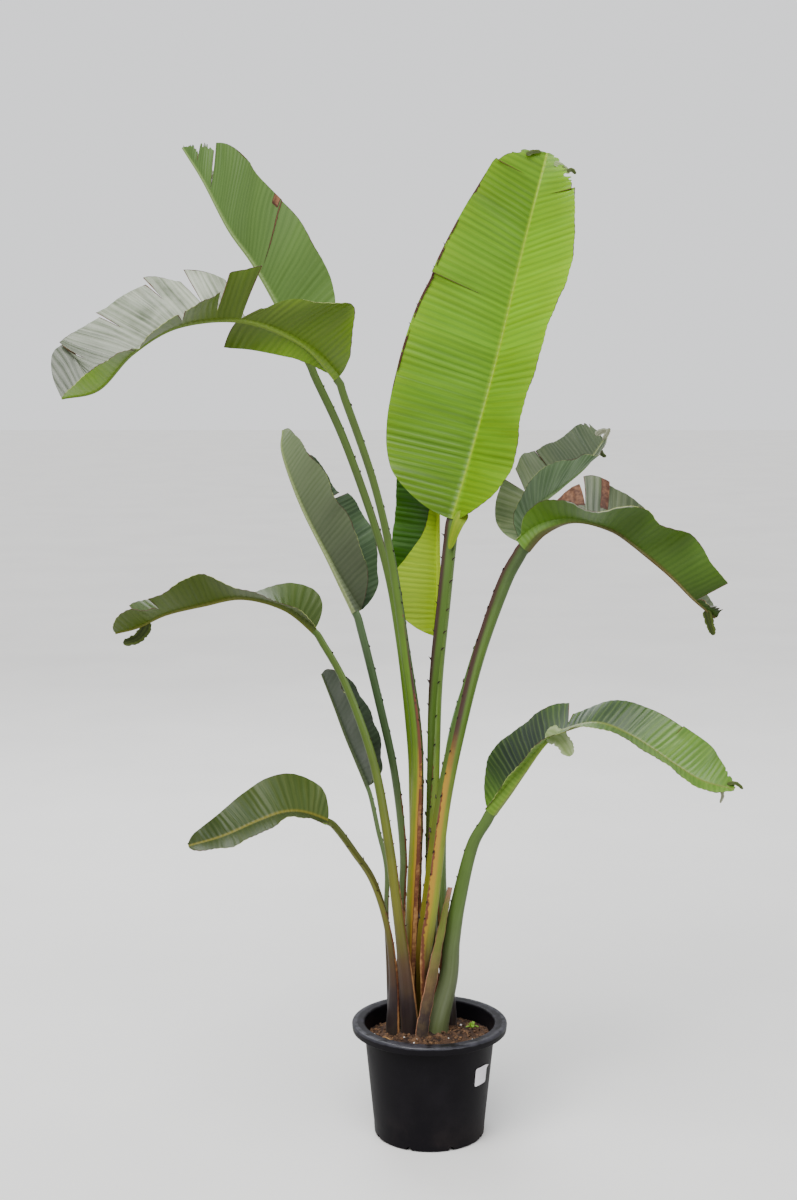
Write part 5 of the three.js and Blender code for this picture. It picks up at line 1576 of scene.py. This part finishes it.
weed_finish = plain_skin("weed_leaf", "#587d1c", "#92c533", 8.0)
WEED_AT = (78, 33)
WEED_LEAVES = 7
WEED_TURN = 2.4
weed_foot = np.array((*WEED_AT, soil_height(*WEED_AT) - 1))
for i in range(WEED_LEAVES):
    a = i * WEED_TURN
    far = 9 + 2.6 * (i % 3)
    rise = 2 * (i % 4)
    knee, tip = (weed_foot + (share * far * math.cos(a), share * far * math.sin(a), up + rise)
                 for share, up in ((0.45, 7), (1, 6)))
    strip([weed_foot, knee, tip], 5.5, 0.5, f"weed_leaf_{i + 1}", weed_finish)
print("straws:", len(STRAWS), "weed leaves:", WEED_LEAVES)

# %% [markdown]
# ## Shreds and thorns
# Wind has frayed the ends of several blades, so shreds of dead tissue hang from them.
# The dead margin of each stalk breaks up into small dark scales that sit on its lips
# about 50 mm apart, and the burnt left margin of the biggest leaf has some too. Each
# is a bent wedge, and those of one stalk share a mesh.

# %% Shreds
SHREDS = [
    # leaf, finish, width, hint, side, t, out, and the way it hangs from there
    ("i", "dark", 24, (-1, -0.8, 0.2), RIGHT, 0.95, 0.0, [(0, 0, 0), (5, -3, -20), (12, -5, -42)]),
    ("f", "dark", 24, (0.2, -1, 0.3), RIGHT, 0.84, 0.0,
     [(0, 0, 0), (-8, -3, -16), (-19, -5, -28), (-42, -6, -36)]),
    ("k", "fresh", 40, (0, -1, 0.2), RIGHT, 0.35, 0.0, [(-12, 0, 6), (12, -8, -6), (30, -14, -34)]),
    ("k", "dark", 12, (0, -0.6, 1), LEFT, 0.97, 0.3, [(0, 0, 0), (14, -4, 2), (26, -6, -7)]),
    ("k", "pale", 8, (0, -1, 0.3), RIGHT, 0.95, 0.0, [(0, 0, 0), (6, -4, -14), (2, -6, -28)]),
    ("j", "pale", 15, (0, -1, 0.4), LEFT, 0.96, 0.5, [(0, 0, 0), (12, 4, 8), (28, 8, 8)]),
    ("j", "pale", 12, (0, -1, 0.4), LEFT, 0.99, 0.0, [(0, 0, 0), (6, 2, 12), (12, 3, 24)]),
    ("j", "dark", 12, (0, -1, 0.4), RIGHT, 0.86, 0.5, [(0, 0, 0), (4, 2, -8), (12, 3, -14)]),
    ("c", "dark", 12, (-0.4, -0.9, 0.3), LEFT, 0.97, 0.75, [(0, -3, 0), (12, -2, 5), (26, 0, 6)]),
    ("c", "fresh", 14, (-0.4, -0.9, 0.3), RIGHT, 0.97, 0.7,
     [(0, -3, 0), (14, -4, -6), (28, -4, -18)]),
    ("c", "dark", 10, (-0.4, -0.9, 0.3), RIGHT, 0.94, 0.93, [(0, -2, 0), (8, -3, 3), (16, -3, -4)]),
    ("c", "base", 27, (-0.2, -1, 0.2), RIGHT, 0.006, 0.3,
     [(14, -4, 12), (0, -8, -12), (-14, -4, -56)]),
]
SHRED_FINISH = {
    "dark": plain_skin("shred_dark", "#2f3a12", "#556420", 9.0),
    "fresh": plain_skin("shred_fresh", "#7c8f55", "#a3b184", 9.0),
    "pale": plain_skin("shred_pale", "#7f8068", "#b9bba4", 9.0),
    "base": plain_skin("leaf_c_base_fold", "#6d8a08", "#93a010", 5.0),
}


def blade_spot(name, side, t, out):
    """The point of a blade that lies at a share of its midrib and of its half width."""
    leaf = next(leaf for leaf in LEAVES if leaf["name"] == name)
    points, n = half_sheet(leaf, rib_line(leaf), [(t, -1, 0)], side)
    return points[0, np.argmin(np.abs(n["out"][0] - out))]


for i, (leaf_name, kind, width, hint, side, t, out, way_down) in enumerate(SHREDS):
    start = blade_spot(leaf_name, side, t, out)
    strip([start + np.array(step, float) for step in way_down], width, 0.9,
          f"leaf_{leaf_name}_shred_{i + 1}", SHRED_FINISH[kind], hint,
          frayed=0.0 if kind == "base" else 0.25, taper=0.6 if kind == "base" else 0.35)
print("shreds:", len(SHREDS))

# %% Thorns
THORN_GAP = 50
THORN_SECTIONS = (
    # along the lip, out of it, half width
    (-2.2, -1.2, 1.5), (0.2, 0.6, 1.9), (1.6, 2.8, 1.1), (3.2, 5.2, 0.35),
)
THORN_CORNERS = (0, 2.094, 4.189)


def build_thorns(name, lips, scale=1.0):
    """Dark scales along both lips of one stalk, or along a margin."""
    points, faces = [], []
    for side in (0, 1):
        lip, other = lips[:, side], lips[:, 1 - side]
        run = np.concatenate([[0], np.cumsum(np.linalg.norm(np.diff(lip, axis=0), axis=1))])
        at = run[-1] * 0.22 + DICE.uniform(0, THORN_GAP)
        while at < run[-1] * 0.97:
            i = min(int(np.searchsorted(run, at)), len(run) - 2)
            way = unit(lip[i + 1] - lip[i])
            across = unit(lip[i] - other[i])
            up = np.cross(way, across)
            size = DICE.uniform(0.55, 0.95) * scale
            first = len(points)
            for along_it, out_of_it, wide in THORN_SECTIONS:
                middle = lip[i] + (way * along_it + across * out_of_it) * size
                for a in THORN_CORNERS:
                    points.append(middle + (up * math.cos(a) + way * math.sin(a)) * wide * size)
            wedge = skin_faces(len(THORN_SECTIONS), len(THORN_CORNERS))
            wedge += [(2, 1, 0), (9, 10, 11)]
            faces += [[first + k for k in face] for face in wedge]
            at += THORN_GAP * DICE.uniform(0.7, 1.3)
    numbers = dict(rise=[p[2] * MM for p in points],
                   around=[0.1 * (i % 3) for i in range(len(points))])
    make_piece(f"leaf_{name}_thorns", points, faces, [thorn_finish], (), numbers)
    return len(faces)


thorn_finish = plain_skin("thorn", "#1d1210", "#3a241c", 6.0)
thorn_faces = sum(build_thorns(name, lips, 1.3 if name in "ci" else 1.0)
                  for name, lips in STALK_LIPS.items())
burnt_margin = np.array([[blade_spot("c", LEFT, t, out) for out in (1.0, 0.985)]
                         for t in np.linspace(0.33, 0.72, 41)])
build_thorns("c_margin", burnt_margin, 0.9)
strip(list(burnt_margin[::4, 1]), 4.5, 1.2, "leaf_c_burnt_margin",
      plain_skin("burnt_margin", "#2c1810", "#6a3c28", 9.0), (-0.5, -0.86, 0.1))
print("thorn faces:", thorn_faces)

# %% [markdown]
# ## Label
# A blank paper sticker follows the wall. One corner has let go a little, and the
# paper has picked up dust. A flat square would cut into the round wall, so its mesh is
# a small grid bent round the pot.

# %% Label
LABEL_TURN = math.radians(-36)
LABEL_HALF_WIDE = 17
LABEL_LOW, LABEL_HIGH = 112, 146
LABEL_STEPS = 24
LABEL_FACE, LABEL_BACK = 1.1, 0.5
LABEL_WALL_R = 112
LOOSE_FROM, LOOSE_BY = 1.35, 2.6


def paper_skin():
    material, tree, shader = new_material("label_paper", Specular_IOR_Level=0.4)
    cloud = use_group(tree, blotches, Scale=90.0, Low=0.4, High=0.75)
    fine = use_group(tree, blotches, Scale=900.0, Low=0.4, High=0.6)
    edge_mark = use_group(tree, dry_rim, Dry=measure(tree, "dry"), Fray=220.0,
                     Young=shade("#a79c96"), Old=shade("#8d7f76"))
    colour = blend_colour(tree, cloud["Mask"], shade("#fbf8fd"), shade("#efe9f0"))
    colour = blend_colour(tree, times(tree, edge_mark["Mask"], 0.6), colour, edge_mark["Colour"])
    wire_skin(tree, shader, colour, fine["Grain"], 0.0002,
              plus(tree, times(tree, cloud["Grain"], 0.3), 0.4, clamp=True))
    return material


def build_label():
    count = LABEL_STEPS + 1
    points, dry = [], []
    for outward in (LABEL_FACE, LABEL_BACK):
        for i in range(count):
            for j in range(count):
                u, v = 2 * i / LABEL_STEPS - 1, 2 * j / LABEL_STEPS - 1
                round_off = 1 - 0.06 * max(0, abs(u) - 0.8) * max(0, abs(v) - 0.8) * 25
                z = (LABEL_LOW + LABEL_HIGH) / 2 + v * round_off * (LABEL_HIGH - LABEL_LOW) / 2
                lift = LOOSE_BY * max(0, u + v - LOOSE_FROM) ** 2 * 4
                r = wall_r(z) + outward + lift
                a = LABEL_TURN + u * round_off * LABEL_HALF_WIDE / LABEL_WALL_R
                points.append((r * math.cos(a), r * math.sin(a), z))
                dry.append(max(abs(u), abs(v)) ** 18 * 0.6)
    faces = []
    for i in range(LABEL_STEPS):
        for j in range(LABEL_STEPS):
            a = i * count + j
            quad = (a, a + count, a + count + 1, a + 1)
            faces += [quad, tuple(k + count * count for k in quad[::-1])]
    there, back = range(LABEL_STEPS), range(LABEL_STEPS, 0, -1)
    border = [(0, j) for j in there] + [(i, LABEL_STEPS) for i in there]
    border += [(LABEL_STEPS, j) for j in back] + [(i, 0) for i in back]
    ring = [i * count + j for i, j in border]
    for p, q in zip(ring, ring[1:] + ring[:1]):
        faces.append((p, q, q + count * count, p + count * count))
    make_piece("label_skin", points, faces, [paper_skin()], ["label"], dict(dry=dry))


build_label()
print("label", 2 * LABEL_HALF_WIDE, "by", LABEL_HIGH - LABEL_LOW, "mm, blank")

# %% [markdown]
# ## Floor
# A plain pale floor carries the shadow. A curved backdrop would do for one view. A
# flat floor that reaches far out, until the sky takes over, serves every side.

# %% Floor
FLOOR_REACH = 40.0
FLOOR_AT = -0.0005


def build_floor():
    material, tree, shader = new_material("studio_floor", Specular_IOR_Level=0.2)
    cloud = use_group(tree, blotches, Scale=1.5, Low=0.3, High=0.7)
    pale = blend_colour(tree, cloud["Mask"], shade("#f5f4f2"), shade("#f8f7f5"))
    seen_straight = add_node(tree, "LightPath").outputs["Is Camera Ray"]
    colour = blend_colour(tree, seen_straight, shade("#b0afad"), pale)
    tree.links.new(colour, shader.inputs["Base Color"])
    tree.links.new(plus(tree, cloud["Grain"], 0.3, clamp=True), shader.inputs["Roughness"])
    corners = [(x * FLOOR_REACH, y * FLOOR_REACH, FLOOR_AT)
               for x, y in ((-1, -1), (1, -1), (1, 1), (-1, 1))]
    mesh = bpy.data.meshes.new("studio_floor")
    mesh.from_pydata(corners, [], [(0, 1, 2, 3)])
    mesh.materials.append(material)
    floor = stand_in_scene("studio_floor", mesh)


build_floor()
print("floor reaches", FLOOR_REACH, "m each way")
